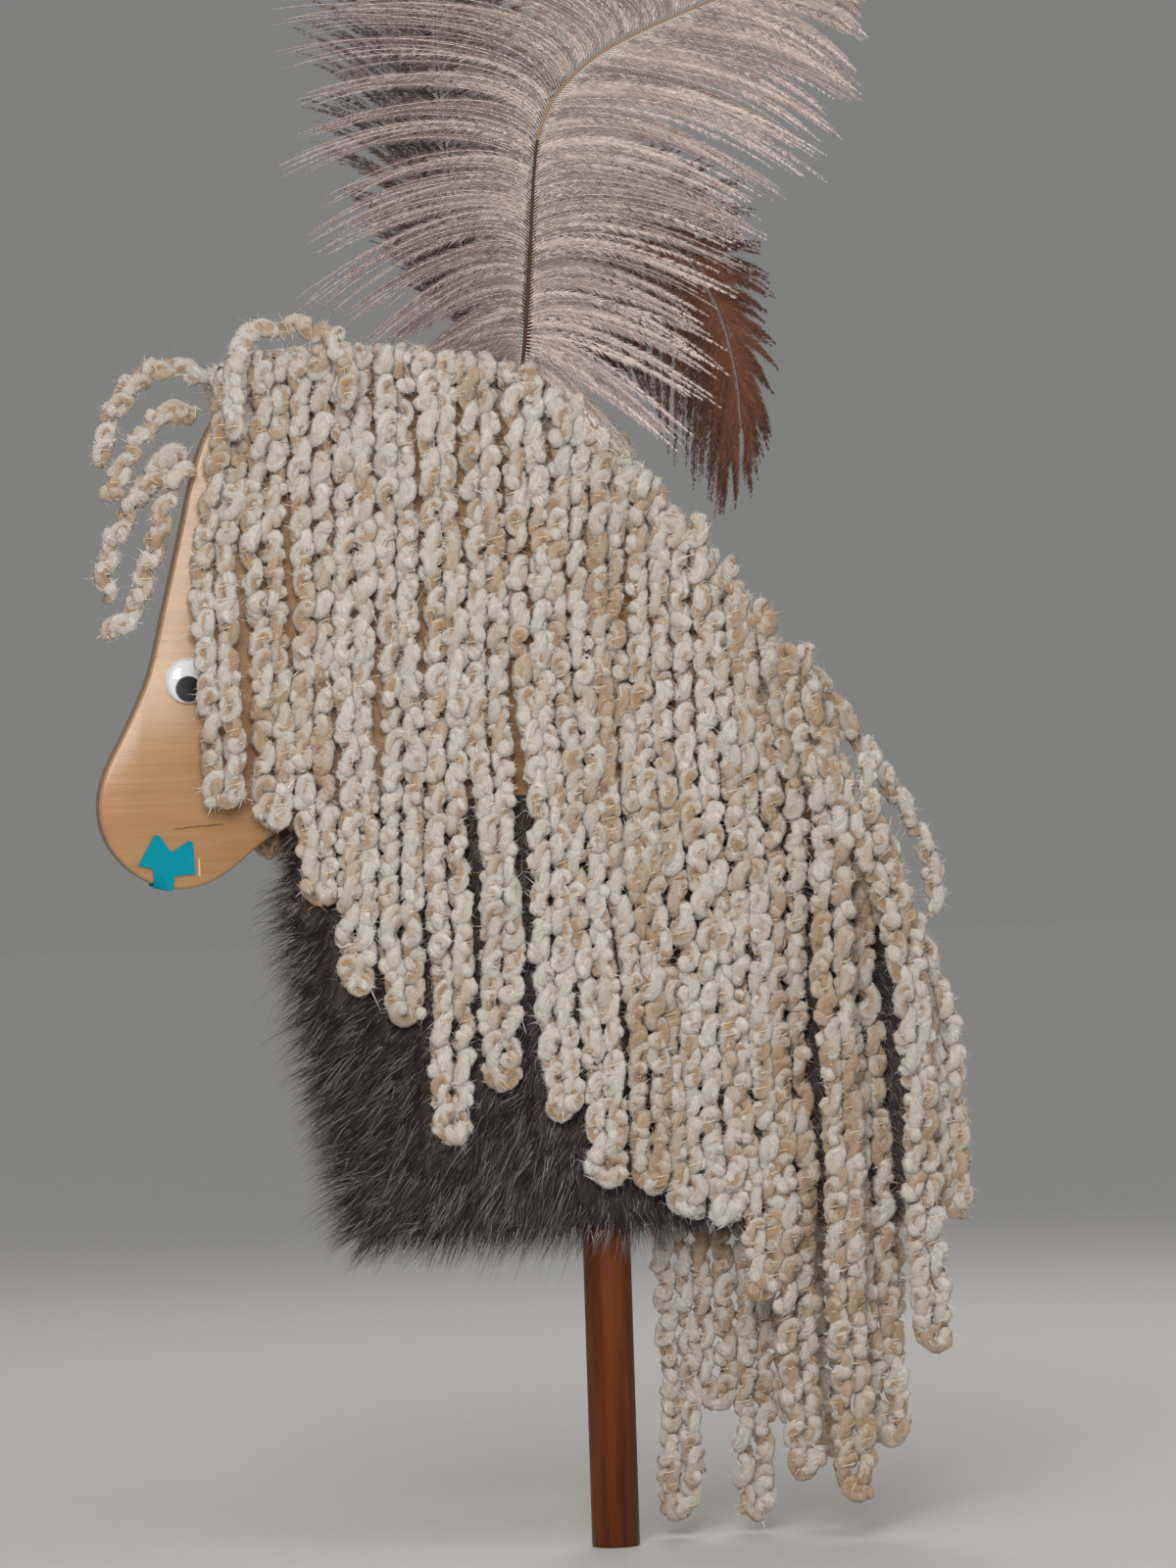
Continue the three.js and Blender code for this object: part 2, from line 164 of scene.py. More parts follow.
class Tree:
    """The nodes of one material."""

    def __init__(self, material: bpy.types.Material) -> None:
        """Empties the material's tree and adds its output."""
        material.use_nodes = True
        self.tree = material.node_tree
        self.tree.nodes.clear()
        self.output = self.node("ShaderNodeOutputMaterial")

    def node(self, kind: str, settings: dict | None = None, inputs: dict | None = None) -> bpy.types.Node:
        """Adds a node.

        Args:
            kind: its type.
            settings: its properties, set first.
            inputs: a value, a Value or a socket for each named or numbered input.

        Returns:
            The new node.
        """
        made = self.tree.nodes.new(kind)
        for name, value in (settings or {}).items():
            setattr(made, name, value)
        for name, value in (inputs or {}).items():
            value = value.socket if isinstance(value, Value) else value
            if isinstance(value, bpy.types.NodeSocket):
                self.tree.links.new(value, made.inputs[name])
            else:
                made.inputs[name].default_value = value
        return made

    def maths(self, operation: str, first: "Value | float", second: "Value | float") -> Value:
        """A Math node of two values."""
        made = self.node("ShaderNodeMath", {"operation": operation}, {0: first, 1: second})
        return Value(self, made.outputs[0])

    def noise(self, vector: bpy.types.NodeSocket, scale: float, detail: float = 3,
              rough: float = 0.6) -> Value:
        """Noise from 0 to 1 at a vector."""
        made = self.node("ShaderNodeTexNoise", None,
                         {"Vector": vector, "Scale": scale, "Detail": detail, "Roughness": rough})
        return Value(self, made.outputs["Fac"])

    def stretched(self, vector: bpy.types.NodeSocket, scale: tuple) -> bpy.types.NodeSocket:
        """The vector with each axis scaled."""
        return self.node("ShaderNodeMapping", None, {"Vector": vector, "Scale": scale}).outputs[0]

    def blend(self, share: "Value | float", first: object, second: object) -> bpy.types.NodeSocket:
        """A colour between two colours."""
        return self.node("ShaderNodeMix", {"data_type": "RGBA"}, {0: share, 6: first, 7: second}).outputs[2]

    def place(self) -> tuple[bpy.types.NodeSocket, Value, Value, Value]:
        """The place on the object in metres, as a vector and as X, Y and Z."""
        vector = self.node("ShaderNodeTexCoord").outputs["Object"]
        parts = self.node("ShaderNodeSeparateXYZ", None, {0: vector}).outputs
        return vector, Value(self, parts[0]), Value(self, parts[1]), Value(self, parts[2])

    def bump(self, height: Value, depth: float, strength: float = 1.0) -> bpy.types.NodeSocket:
        """A normal raised by a height from 0 to 1 times a depth in metres."""
        return self.node("ShaderNodeBump", None,
                         {"Height": height, "Distance": depth, "Strength": strength}).outputs[0]

    def shader(self, inputs: dict) -> bpy.types.Node:
        """The Principled shader that ends the tree."""
        made = self.node("ShaderNodeBsdfPrincipled", None, inputs)
        self.tree.links.new(made.outputs[0], self.output.inputs[0])
        return made


def rgb(red: float, green: float, blue: float) -> tuple[float, float, float, float]:
    """An opaque colour."""
    return (red, green, blue, 1.0)


@dataclass(frozen=True)
class Finish:
    """How one material looks. This plain one is a single tone of hair, down or fibre."""

    name: str
    colour: tuple = rgb(0.5, 0.5, 0.5)
    roughness: float = 0.6
    sheen: float = 0.3

    def material(self) -> bpy.types.Material:
        """The Blender material, made once."""
        made = bpy.data.materials.get(self.name)
        if made is None:
            made = bpy.data.materials.new(self.name)
            self.paint(Tree(made))
        return made

    def paint(self, tree: Tree) -> None:
        """Fills the material's tree."""
        tree.shader({"Base Color": self.colour, "Roughness": self.roughness, "Sheen Weight": self.sheen,
                     "Sheen Roughness": 0.4})


@dataclass(frozen=True)
class WoolFinish(Finish):
    """Off-white and tan roving with the fibres showing along it, and painted shade near each strand's middle.
    """

    cream: tuple = rgb(1.0, 0.95, 0.88)
    grey: tuple = rgb(0.78, 0.69, 0.60)
    tan: tuple = rgb(0.62, 0.375, 0.19)
    # painted shade: the dark brown of the deepest places near a strand's middle
    hollow_shade: tuple = rgb(0.30, 0.16, 0.075)

    def paint(self, tree: Tree) -> None:
        """Mixes the two wools by each place's share of tan, streaked along the fibres; the tan near a
        strand's middle and the dark brown on the deepest places are painted shade.
        """
        fibre = tree.node("ShaderNodeAttribute", {"attribute_name": "fibre"}).outputs["Vector"]
        tan, hollow_shade = (Value(tree, tree.node("ShaderNodeAttribute", {"attribute_name": name}).outputs["Fac"])
                       for name in ("tan", "hollow_shade"))
        streak = tree.noise(tree.stretched(fibre, (160, 800, 800)), 1.0, 5, 0.75)
        cloud = tree.noise(fibre, 330, 4, 0.7)
        share = (tan + (streak - 0.5) * 0.7 + (cloud - 0.5) * 1.1).between(0.2, 1.0)
        wool = tree.blend((streak * 0.6 + cloud * 0.4).between(0.4, 0.62), self.grey, self.cream)
        wool = tree.blend(share, wool, self.tan)
        # painted shade: the deepest places darken to dark brown
        deep_shade = (hollow_shade + (streak - 0.5) * 0.5 + (cloud - 0.5) * 0.4).between(0.3, 1.15)
        wool = tree.blend(deep_shade, wool, self.hollow_shade)
        tree.shader({"Base Color": wool, "Roughness": 0.85, "Sheen Weight": 0.7, "Sheen Roughness": 0.35,
                     "Normal": tree.bump(streak * 0.7 + cloud * 0.6, 0.004, 1.0)})


@dataclass(frozen=True)
class PlywoodFinish(Finish):
    """Light plywood under clear varnish, with its plies showing round the edge."""

    light: tuple = rgb(0.45, 0.25, 0.102)
    dark: tuple = rgb(0.34, 0.168, 0.058)
    line: tuple = rgb(0.17, 0.08, 0.035)
    edge_dark: tuple = rgb(0.15, 0.095, 0.062)
    edge_light: tuple = rgb(0.44, 0.30, 0.19)
    plies: int = 5

    def paint(self, tree: Tree) -> None:
        """Paints grain along X, a crack and a scratch at the muzzle, and the plies on the edge."""
        place, x, y, z = tree.place()
        fine = tree.noise(tree.stretched(place, (14, 300, 420)), 1.0, 5, 0.65)
        broad = tree.noise(tree.stretched(place, (5, 20, 60)), 1.0, 3)
        lines = tree.noise(tree.stretched(place, (6, 60, 190)), 1.0, 4, 0.75)
        face = tree.blend((fine * 0.6 + broad * 0.6).between(0.35, 0.85), self.light, self.dark)
        face = tree.blend(lines.between(0.62, 0.74) * 0.5, face, self.line)
        wave = (tree.noise(place, 180, 3) - 0.5) * 0.0028
        crack = (z + wave - (x + 0.1964) * 0.056 - 0.3356).size().between(0.00045, 0.0001)
        crack = crack * x.between(-0.1975, -0.1955) * x.between(-0.1735, -0.1755)
        face = tree.blend(crack * 0.85, face, self.line)
        scratch = (x + wave * 0.4 + 0.186).size().between(0.0006, 0.0001) * z.between(0.313, 0.3145)
        scratch = scratch * z.between(0.3225, 0.321)
        face = tree.blend(scratch * 0.7, face, rgb(0.85, 0.70, 0.5))
        face = tree.blend(x.between(-0.218, -0.229) * 0.55, face, rgb(0.42, 0.16, 0.07))
        normal = tree.node("ShaderNodeNewGeometry").outputs["Normal"]
        across = Value(tree, tree.node("ShaderNodeSeparateXYZ", None, {0: normal}).outputs[1]).size()
        ply = tree.maths("FRACT", (y + HALF_T * MM) * (self.plies / (2 * HALF_T * MM)) * 0.5, 0.0)
        pale_ply = (ply - 0.5).size().between(0.2, 0.3)
        edge = tree.blend(pale_ply * 0.7 + fine * 0.3, self.edge_dark, self.edge_light)
        colour = tree.blend(across.between(0.9, 0.6), face, edge)
        tree.shader({"Base Color": colour, "Roughness": 0.36 + fine * 0.2 + across.between(0.9, 0.6) * 0.3,
                     "Coat Weight": 0.35, "Coat Roughness": 0.18,
                     "Normal": tree.bump(fine + crack * -3.0, 0.00012)})


@dataclass(frozen=True)
class DowelFinish(Finish):
    """Turned softwood stained orange-brown and varnished."""

    light: tuple = rgb(0.165, 0.035, 0.002)
    dark: tuple = rgb(0.06, 0.012, 0.002)

    def paint(self, tree: Tree) -> None:
        """Paints grain along Z with darker flecks and a soft gloss."""
        place, *_ = tree.place()
        grain = tree.noise(tree.stretched(place, (170, 170, 7)), 1.0, 5, 0.7)
        cloud = tree.noise(tree.stretched(place, (50, 50, 12)), 1.0, 3)
        flecks = tree.noise(tree.stretched(place, (420, 420, 40)), 1.0, 2)
        colour = tree.blend((grain * 0.7 + cloud * 0.5).between(0.4, 0.8), self.light, self.dark)
        colour = tree.blend(flecks.between(0.66, 0.76) * 0.6, colour, rgb(0.05, 0.014, 0.004))
        tree.shader({"Base Color": colour, "Roughness": 0.4 + grain * 0.2, "Specular IOR Level": 0.2,
                     "Coat Weight": 0.15, "Coat Roughness": 0.12, "Normal": tree.bump(grain, 0.00015)})


# How fast a weave's threads repeat, and how they slant, in radians for each metre
THREAD_TURNS, THREAD_SLANT = 4200, 900


class Grainy(Enum):
    """How a sheet's surface is broken up."""

    FOAM = "foam"
    WOVEN = "woven"
    SKIN = "skin"


@dataclass(frozen=True)
class SheetFinish(Finish):
    """A thin sheet: foam, woven tape or the skin under the fur."""

    other: tuple = rgb(0.4, 0.4, 0.4)
    grain: Grainy = Grainy.FOAM

    def paint(self, tree: Tree) -> None:
        """Paints fine pores, threads or blotches over the sheet."""
        place, x, _, z = tree.place()
        if self.grain is Grainy.WOVEN:
            warp = tree.maths("SINE", x * THREAD_TURNS + z * THREAD_SLANT, 0.0)
            weft = tree.maths("SINE", z * THREAD_TURNS - x * THREAD_SLANT, 0.0)
            relief = warp * weft * 0.5 + 0.5
        else:
            relief = tree.noise(place, 2200 if self.grain is Grainy.FOAM else 700, 3)
        blotch = tree.noise(place, 90, 3)
        colour = tree.blend((relief * 0.35 + blotch * 0.65).between(0.35, 0.75), self.colour, self.other)
        tree.shader({"Base Color": colour, "Roughness": self.roughness, "Sheen Weight": self.sheen,
                     "Specular IOR Level": 0.15, "Normal": tree.bump(relief, 0.00025, 0.7)})


@dataclass(frozen=True)
class HardFinish(Finish):
    """Moulded plastic or plated metal with a faint handling haze."""

    metal: float = 0.0
    coat: float = 0.0

    def paint(self, tree: Tree) -> None:
        """Varies the gloss a little over the surface."""
        place, *_ = tree.place()
        haze = tree.noise(place, 420, 4, 0.7)
        duller = (*(c * 0.8 for c in self.colour[:3]), 1)
        tint = tree.blend(haze.between(0.45, 0.9) * 0.35, self.colour, duller)
        tree.shader({"Base Color": tint, "Roughness": self.roughness + haze * 0.12, "Metallic": self.metal,
                     "Coat Weight": self.coat, "Coat Roughness": 0.05, "Normal": tree.bump(haze, 0.00002)})


@dataclass(frozen=True)
class DomeFinish(Finish):
    """Thin clear plastic: mostly see-through, with a gloss that grows towards the rim."""

    def paint(self, tree: Tree) -> None:
        """Mixes a mirror gloss over clear plastic by Fresnel."""
        clear = tree.node("ShaderNodeBsdfTransparent", None, {"Color": rgb(0.97, 0.98, 0.985)})
        gloss = tree.node("ShaderNodeBsdfGlossy", None, {"Color": rgb(1, 1, 1), "Roughness": 0.02})
        share = Value(tree, tree.node("ShaderNodeFresnel", None, {"IOR": 1.49}).outputs[0])
        haze = tree.noise(tree.place()[0], 500, 3)
        both = tree.node("ShaderNodeMixShader", None,
                         {0: share * 0.35 + haze * 0.01, 1: clear.outputs[0], 2: gloss.outputs[0]})
        tree.tree.links.new(both.outputs[0], tree.output.inputs[0])


WOOL = WoolFinish("wool_roving")
FUZZ_CREAM = Finish("fuzz_cream", rgb(0.98, 0.955, 0.92), 0.6, 0.5)
FUZZ_TAN = Finish("fuzz_tan", rgb(0.70, 0.49, 0.31), 0.6, 0.5)
BINDER = Finish("binder_thread", rgb(0.98, 0.82, 0.58), 0.22, 0.0)
PLYWOOD = PlywoodFinish("varnished_plywood")
DOWEL = DowelFinish("stained_dowel")
FOAM = SheetFinish("teal_foam", rgb(0.0, 0.25, 0.345), 0.85, 0.0, rgb(0.0, 0.28, 0.39))
TAPE = SheetFinish("mane_tape_weave", rgb(0.58, 0.46, 0.33), 0.9, 0.3, rgb(0.66, 0.55, 0.42), Grainy.WOVEN)
PELT_SKIN = SheetFinish("pelt_skin", rgb(0.045, 0.034, 0.030), 0.9, 0.2, rgb(0.085, 0.062, 0.05), Grainy.SKIN)
ZINC = HardFinish("zinc_plate", rgb(0.6, 0.6, 0.58), 0.3, 0.0, 1.0)
EYE_WHITE = HardFinish("eye_white", rgb(0.86, 0.87, 0.90), 0.3, 0.0, 0.0, 0.3)
EYE_BLACK = HardFinish("eye_black", rgb(0.006, 0.006, 0.007), 0.55, 0.0, 0.0, 0.0)
EYE_DOME = DomeFinish("eye_dome_clear")
FUR_TONES = (Finish("fur_root", rgb(0.016, 0.011, 0.010), 0.5, 0.1),
             Finish("fur_dark", rgb(0.040, 0.028, 0.025), 0.35, 0.2),
             Finish("fur_brown", rgb(0.12, 0.075, 0.055), 0.35, 0.2),
             Finish("fur_tip", rgb(0.32, 0.265, 0.24), 0.3, 0.3))


BLADE_TAPER = 0.75


class Gather:
    """Collects the vertices and faces of one mesh."""

    def __init__(self) -> None:
        """Starts empty."""
        self.points: list[np.ndarray] = []
        self.faces: list[tuple[np.ndarray, np.ndarray]] = []
        self.marks: dict[str, list[np.ndarray]] = {}
        self.count = 0

    def add(self, points: np.ndarray, faces: list, marks: dict | None = None) -> None:
        """Adds vertices, and faces given as pairs of an array of corners and an array of material slots."""
        self.points.append(points)
        for corners, slots in faces:
            self.faces.append((corners + self.count, np.broadcast_to(slots, len(corners))))
        for name, values in (marks or {}).items():
            self.marks.setdefault(name, []).append(values)
        self.count += len(points)

    def tube(self, line: np.ndarray, radius: np.ndarray, side: np.ndarray, corners: int, slot: int = 0,
             marks: Callable | None = None) -> np.ndarray:
        """Adds a closed tube.

        Args:
            line: its middle.
            radius: its radius, one for each place or one for each place and corner.
            side: a direction across it at each place.
            corners: how many corners its section has.
            slot: its material slot.
            marks: a function of the section's angles and the vertices that gives each mark's values.

        Returns:
            Its vertices, as places by corners by 3.
        """
        along = unit(np.gradient(line, axis=0))
        first = unit(side - (side * along).sum(1, keepdims=True) * along)
        second = np.cross(along, first)
        turn = np.arange(corners) * 2 * math.pi / corners
        ring = np.cos(turn)[None, :, None] * first[:, None] + np.sin(turn)[None, :, None] * second[:, None]
        count = len(line)
        reach = radius if np.ndim(radius) > 1 else np.broadcast_to(radius, count)[:, None]
        skin = line[:, None] + ring * reach[..., None]
        grid = np.arange(count * corners).reshape(count, corners)
        turned = np.roll(grid, -1, 1)
        walls = np.stack([grid[:-1], turned[:-1], turned[1:], grid[1:]], -1).reshape(-1, 4)
        ends = count * corners + np.arange(2)
        caps = np.concatenate([np.stack([turned[0], grid[0], np.full(corners, ends[0])], 1),
                               np.stack([grid[-1], turned[-1], np.full(corners, ends[1])], 1)])
        values = {name: np.concatenate([full.reshape((-1, *full.shape[2:])), full[:1, 0], full[-1:, 0]])
                  for name, full in (marks(turn, skin) if marks else {}).items()}
        middle = np.concatenate([skin.reshape(-1, 3), line[:1], line[-1:]])
        self.add(middle, [(walls, slot), (caps, slot)], values)
        return skin

    def blades(self, lines: np.ndarray, width: np.ndarray, across: np.ndarray, slots: np.ndarray) -> None:
        """Adds flat tapering blades.

        Args:
            lines: the places along each blade, as blades by places by 3.
            width: half of each blade's width at its root.
            across: each blade's sideways direction.
            slots: the material slot of each of its stretches, as blades by stretches.
        """
        count, places = lines.shape[:2]
        taper = 1 - BLADE_TAPER * np.linspace(0, 1, places - 1)
        shift = across[:, None] * (width[:, None] * taper)[..., None]
        pairs = np.stack([lines[:, :-1] - shift, lines[:, :-1] + shift], 2).reshape(count, -1, 3)
        points = np.concatenate([pairs, lines[:, -1:]], 1)
        each = 2 * (places - 1) + 1
        base = (np.arange(count) * each)[:, None]
        quads = [(np.concatenate([base + 2 * i + k for k in (0, 1, 3, 2)], 1), slots[:, i])
                 for i in range(places - 2)]
        tips = (np.concatenate([base + each - 3, base + each - 2, base + each - 1], 1), slots[:, -1])
        self.add(points.reshape(-1, 3), [*quads, tips])

    def build(self, name: str, finishes: list, slot: str) -> bpy.types.Object:
        """Makes the object, riding on the puppet.

        Args:
            name: the piece's name.
            finishes: the finishes of its material slots.
            slot: the record's material slot; not used.

        Returns:
            The object.
        """
        mesh = bpy.data.meshes.new(name)
        points = np.concatenate(self.points)
        points[:, 2] = np.maximum(points[:, 2], LOWEST * MM)
        mesh.vertices.add(len(points))
        mesh.vertices.foreach_set("co", points.astype(np.float32).ravel())
        corners = np.concatenate([faces.ravel() for faces, _ in self.faces])
        sizes = np.concatenate([np.full(len(faces), faces.shape[1]) for faces, _ in self.faces])
        mesh.loops.add(len(corners))
        mesh.loops.foreach_set("vertex_index", corners.astype(np.int32))
        mesh.polygons.add(len(sizes))
        mesh.polygons.foreach_set("loop_start", np.concatenate([[0], np.cumsum(sizes)[:-1]]).astype(np.int32))
        for key, values in self.marks.items():
            full = np.concatenate(values).astype(np.float32)
            kind, field_name = ("FLOAT_VECTOR", "vector") if full.ndim > 1 else ("FLOAT", "value")
            mesh.attributes.new(key, kind, "POINT").data.foreach_set(field_name, full.ravel())
        mesh.update(calc_edges=True)
        mesh.shade_smooth()
        made = placed(bpy.data.objects.new(name, mesh), finishes)
        # Clearing a mesh's materials also clears its faces' slots, so they come last
        slots = np.concatenate([slots for _, slots in self.faces])
        mesh.polygons.foreach_set("material_index", slots.astype(np.int32))
        return made


def placed(made: bpy.types.Object, finishes: list, body: str = PUPPET) -> bpy.types.Object:
    """Links an object, dresses it and has it ride on a body.

    Args:
        made: the object.
        finishes: the finishes of its material slots.
        body: the body that it rides on.

    Returns:
        The same object.
    """
    bpy.context.scene.collection.objects.link(made)
    made.data.materials.clear()
    for finish in finishes:
        made.data.materials.append(finish.material())
    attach(made, body)
    LOG.info("%s: %d faces", made.name, len(made.data.polygons))
    return made


def welded(made: bpy.types.Object, reach: float, crease: float, node: str) -> bpy.types.Object:
    """Merges a piece's doubled vertices, shades it and has it stand for a frame node.

    Args:
        made: the piece.
        reach: how far apart merged vertices may be, in millimetres.
        crease: the angle in degrees above which an edge stays sharp.
        node: the frame's node.

    Returns:
        The same piece.
    """
    weld = made.modifiers.new("weld", "WELD")
    weld.merge_threshold = reach * MM
    depsgraph = bpy.context.evaluated_depsgraph_get()
    made.data = bpy.data.meshes.new_from_object(made.evaluated_get(depsgraph))
    made.data.name = made.name
    made.modifiers.clear()
    made.data.shade_smooth()
    made.data.set_sharp_from_angle(angle=math.radians(crease))
    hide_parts(node)
    return made


def smooth_copy(node: str, name: str, finish: Finish) -> bpy.types.Object:
    """Replaces a frame node with a smooth-shaded copy in its own finish.

    Args:
        node: the frame's node.
        name: the new piece's name.
        finish: its finish.

    Returns:
        The new piece.
    """
    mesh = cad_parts[node].data.copy()
    return welded(placed(bpy.data.objects.new(name, mesh), [finish]), 0.02, 32, node)


class Crest:
    """The upper edge of the head board, where the mane is sewn."""

    def __init__(self) -> None:
        """Draws the edge."""
        self.line, self.run = smooth_run(CREST, 2.0)

    def at(self, x: float) -> tuple[np.ndarray, np.ndarray]:
        """The place and the outward direction on the crest at x, as X and Z in millimetres."""
        upper = self.line[self.line[:, 1] > TAPE_LOW][::-1]
        i = int(np.clip(np.searchsorted(upper[:, 0], x), 1, len(upper) - 1))
        before, after = upper[i - 1], upper[i]
        along = unit(before - after)
        share = (x - before[0]) / (after[0] - before[0])
        return before + (after - before) * share, np.array([-along[1], along[0]]) * -1 * np.sign(-along[0])


@dataclass(frozen=True)
class Loose:
    """One kind of loose fibre on a roving, in millimetres.

    per_mm is how many there are to a millimetre, places how many points each has, rise how steeply they
    stand, size how long they are and width how wide.
    """

    per_mm: float
    places: int
    rise: tuple
    size: float
    width: tuple


FLUFF = Loose(8.0, 2, (0.05, 0.5), 0.95, (0.10, 0.2))
WISPS = Loose(2.8, 3, (0.2, 1.0), 1.35, (0.05, 0.1))


@dataclass
class Strand:
    """One strand's middle, its directions, how thick it is beside a plain one and how tan. Millimetres."""

    line: np.ndarray
    run: np.ndarray
    along: np.ndarray
    first: np.ndarray
    second: np.ndarray
    scale: float
    tan: np.ndarray


@dataclass
class Yarn:
    """Boucle yarn: two rovings that curl over themselves and each other, under a thin binder thread.

    Millimetres. reach is how far each roving's loops lie from the strand's middle, roving its radius, puff
    the length of strand that one loop takes and curl the loop's radius. A loop's heart is tan inside
    core_fade, and painted shade darkens a vertex by how near the strand's middle it is: tan first, then dark
    brown.
    """

    reach: float = 1.7
    roving: float = 3.05
    puff: float = 7.4
    curl: float = 2.5
    step: float = 0.66
    corners: int = 7
    thread: float = 0.2
    tan_hearts: float = 0.75
    core_fade: tuple = (3.6, 1.2)
    # painted shade: how near the strand's middle a vertex turns tan, and then dark brown
    tan_shade_depth: tuple = (5.4, 2.6)
    hollow_shade_depth: tuple = (4.2, 1.8)

    def beads(self, rng: np.random.Generator, run: np.ndarray) -> tuple[np.ndarray, np.ndarray, np.ndarray]:
        """Divides a strand into puffs of uneven length.

        Args:
            rng: the random draws.
            run: the distance of each place along the strand.

        Returns:
            Each place's puff, its share of the way through it, and how many puffs there are.
        """
        count = int(run[-1] / (self.puff * 0.6)) + 3
        ends = np.cumsum(self.puff * rng.uniform(0.68, 1.32, count)) - self.puff * rng.uniform(0, 1)
        which = np.searchsorted(ends, run)
        start = np.concatenate([[ends[0] - self.puff], ends])[which]
        return which, np.clip((run - start) / (ends[which] - start), 0, 1), count

    def carried(self, line: np.ndarray, first: np.ndarray) -> np.ndarray:
        """Carries a sideways direction along a line without twisting it."""
        along = unit(np.gradient(line, axis=0))
        sides = np.empty_like(line)
        side = first
        for i, ahead in enumerate(along):
            side = side - side.dot(ahead) * ahead
            side = side / max(math.sqrt(side.dot(side)), 1e-9)
            sides[i] = side
        return sides

    def strand(self, wool: Gather, fuzz: Gather, points: np.ndarray, across: tuple, seed: int, tan: float,
               scale: float = 1.0) -> None:
        """Winds one strand.

        Args:
            wool: the mesh that the rovings go into.
            fuzz: the mesh that the loose fibres and the binder go into.
            points: the strand's middle.
            across: a direction that the strand never runs along.
            seed: starts its random draws.
            tan: how tan it is, from 0 to 1.
            scale: how thick it is beside a plain one.
        """
        rng = np.random.default_rng(seed)
        line, run = smooth_run(points, self.step)
        along = unit(np.gradient(line, axis=0))
        sideways = np.array(across, float)
        first = unit(sideways - (sideways * along).sum(1, keepdims=True) * along)
        shade = tan + 0.25 * wander(rng, run, 34)
        strand = Strand(line, run, along, first, np.cross(along, first), scale, shade)
        angle = rng.uniform(0, 2 * math.pi)
        rovings = [self.wind(wool, fuzz, rng, strand, angle, k) for k in range(2)]
        self.binder(fuzz, rng, strand, rovings)

    def wind(self, wool: Gather, fuzz: Gather, rng: np.random.Generator, strand: Strand, angle: float,
             turned_by: int) -> tuple[np.ndarray, np.ndarray]:
        """Winds one roving in loops along a strand.

        Args:
            wool: the mesh that the roving goes into.
            fuzz: the mesh that its loose fibres go into.
            rng: the random draws.
            strand: the strand.
            angle: which way the strand's first loop lies.
            turned_by: how many half turns this roving is ahead by.

        Returns:
            The roving's middle and its radius at each place.
        """
        line, run, along = strand.line, strand.run, strand.along
        which, part, count = self.beads(rng, run)
        shift = ease(0.5, 1.0, part)
        turns = np.cumsum(rng.uniform(1.9, 4.4, count + 1)) + angle + turned_by * math.pi
        wide = self.reach * strand.scale * rng.uniform(0.6, 1.3, count + 1)
        spot = np.stack([wide * np.cos(turns), wide * np.sin(turns)], 1)
        spot = mixed(spot[which], spot[which + 1], shift[:, None])
        heart = line + spot[:, :1] * strand.first + spot[:, 1:] * strand.second
        outward = unit(heart - line)
        curls = self.curl * strand.scale * rng.uniform(0.6, 1.25, count + 1)
        curl = mixed(curls[which], curls[which + 1], shift)
        round_it = 2 * math.pi * part
        middle = (heart - (curl * np.sin(round_it))[:, None] * along
                  - (curl * np.cos(round_it))[:, None] * np.cross(along, outward)
                  + (0.35 * curl * np.sin(round_it + 1))[:, None] * outward)
        fat = rng.uniform(0.82, 1.18, count + 2)
        radius = self.roving * strand.scale * mixed(fat[which], fat[which + 1], shift)
        radius = radius * (1 + 0.07 * wander(rng, run, 2.5))
        radius[0] = radius[-1] = 0.5 * self.roving
        colour = strand.tan + 0.5 * rng.uniform(-1, 1, count + 1)[which] + 0.2 * wander(rng, run, 5)
        colour = levelled(np.clip(colour, 0, 1))
        length = np.linalg.norm(np.diff(middle, axis=0, prepend=middle[:1]), axis=1).cumsum()
        offset = rng.uniform(0, 50)
        twist = rng.uniform(-0.5, 0.5)
        tanned = rng.uniform(0, 1, count + 1) < self.tan_hearts
        tanned = np.where(tanned, rng.uniform(0.5, 1.0, count + 1), 0.0)[which]
        lumps = 1 + rng.normal(0, 0.05, (len(run), self.corners))

        def marks(turn: np.ndarray, skin: np.ndarray) -> dict:
            """The fibres' own coordinates in metres, each vertex's share of tan with painted shade added near
            the strand's middle, and how much dark painted shade it gets.
            """
            around = turn[None] + (length * twist)[:, None]
            fibre = np.stack([np.broadcast_to((length + offset)[:, None] * MM, around.shape),
                              radius[:, None] * np.cos(around) * MM + offset,
                              radius[:, None] * np.sin(around) * MM], -1)
            away = skin / MM - heart[:, None]
            rise = (away * outward[:, None]).sum(2, keepdims=True)
            aside = np.linalg.norm(away - rise * outward[:, None], axis=2)
            core = tanned[:, None] * ease(*self.core_fade, aside) * ease(0, 1.2, rise[..., 0])
            depth = np.linalg.norm(skin / MM - line[:, None], axis=2) / strand.scale
            # the term by depth paints shade as tan near the strand's middle, and the last mark paints it dark
            # brown
            tan = colour[:, None] * 0.85 + 0.9 * core + 0.6 * ease(*self.tan_shade_depth, depth) - 0.08
            return {"fibre": fibre, "tan": tan, "hollow_shade": ease(*self.hollow_shade_depth, depth)}

        skin = wool.tube(middle * MM, radius[:, None] * lumps * MM, self.carried(middle, strand.first[0]),
                         self.corners, marks=marks)
        self.loose_fibres(fuzz, rng, middle * MM, skin, unit(np.gradient(middle, axis=0)), colour)
        return middle, radius

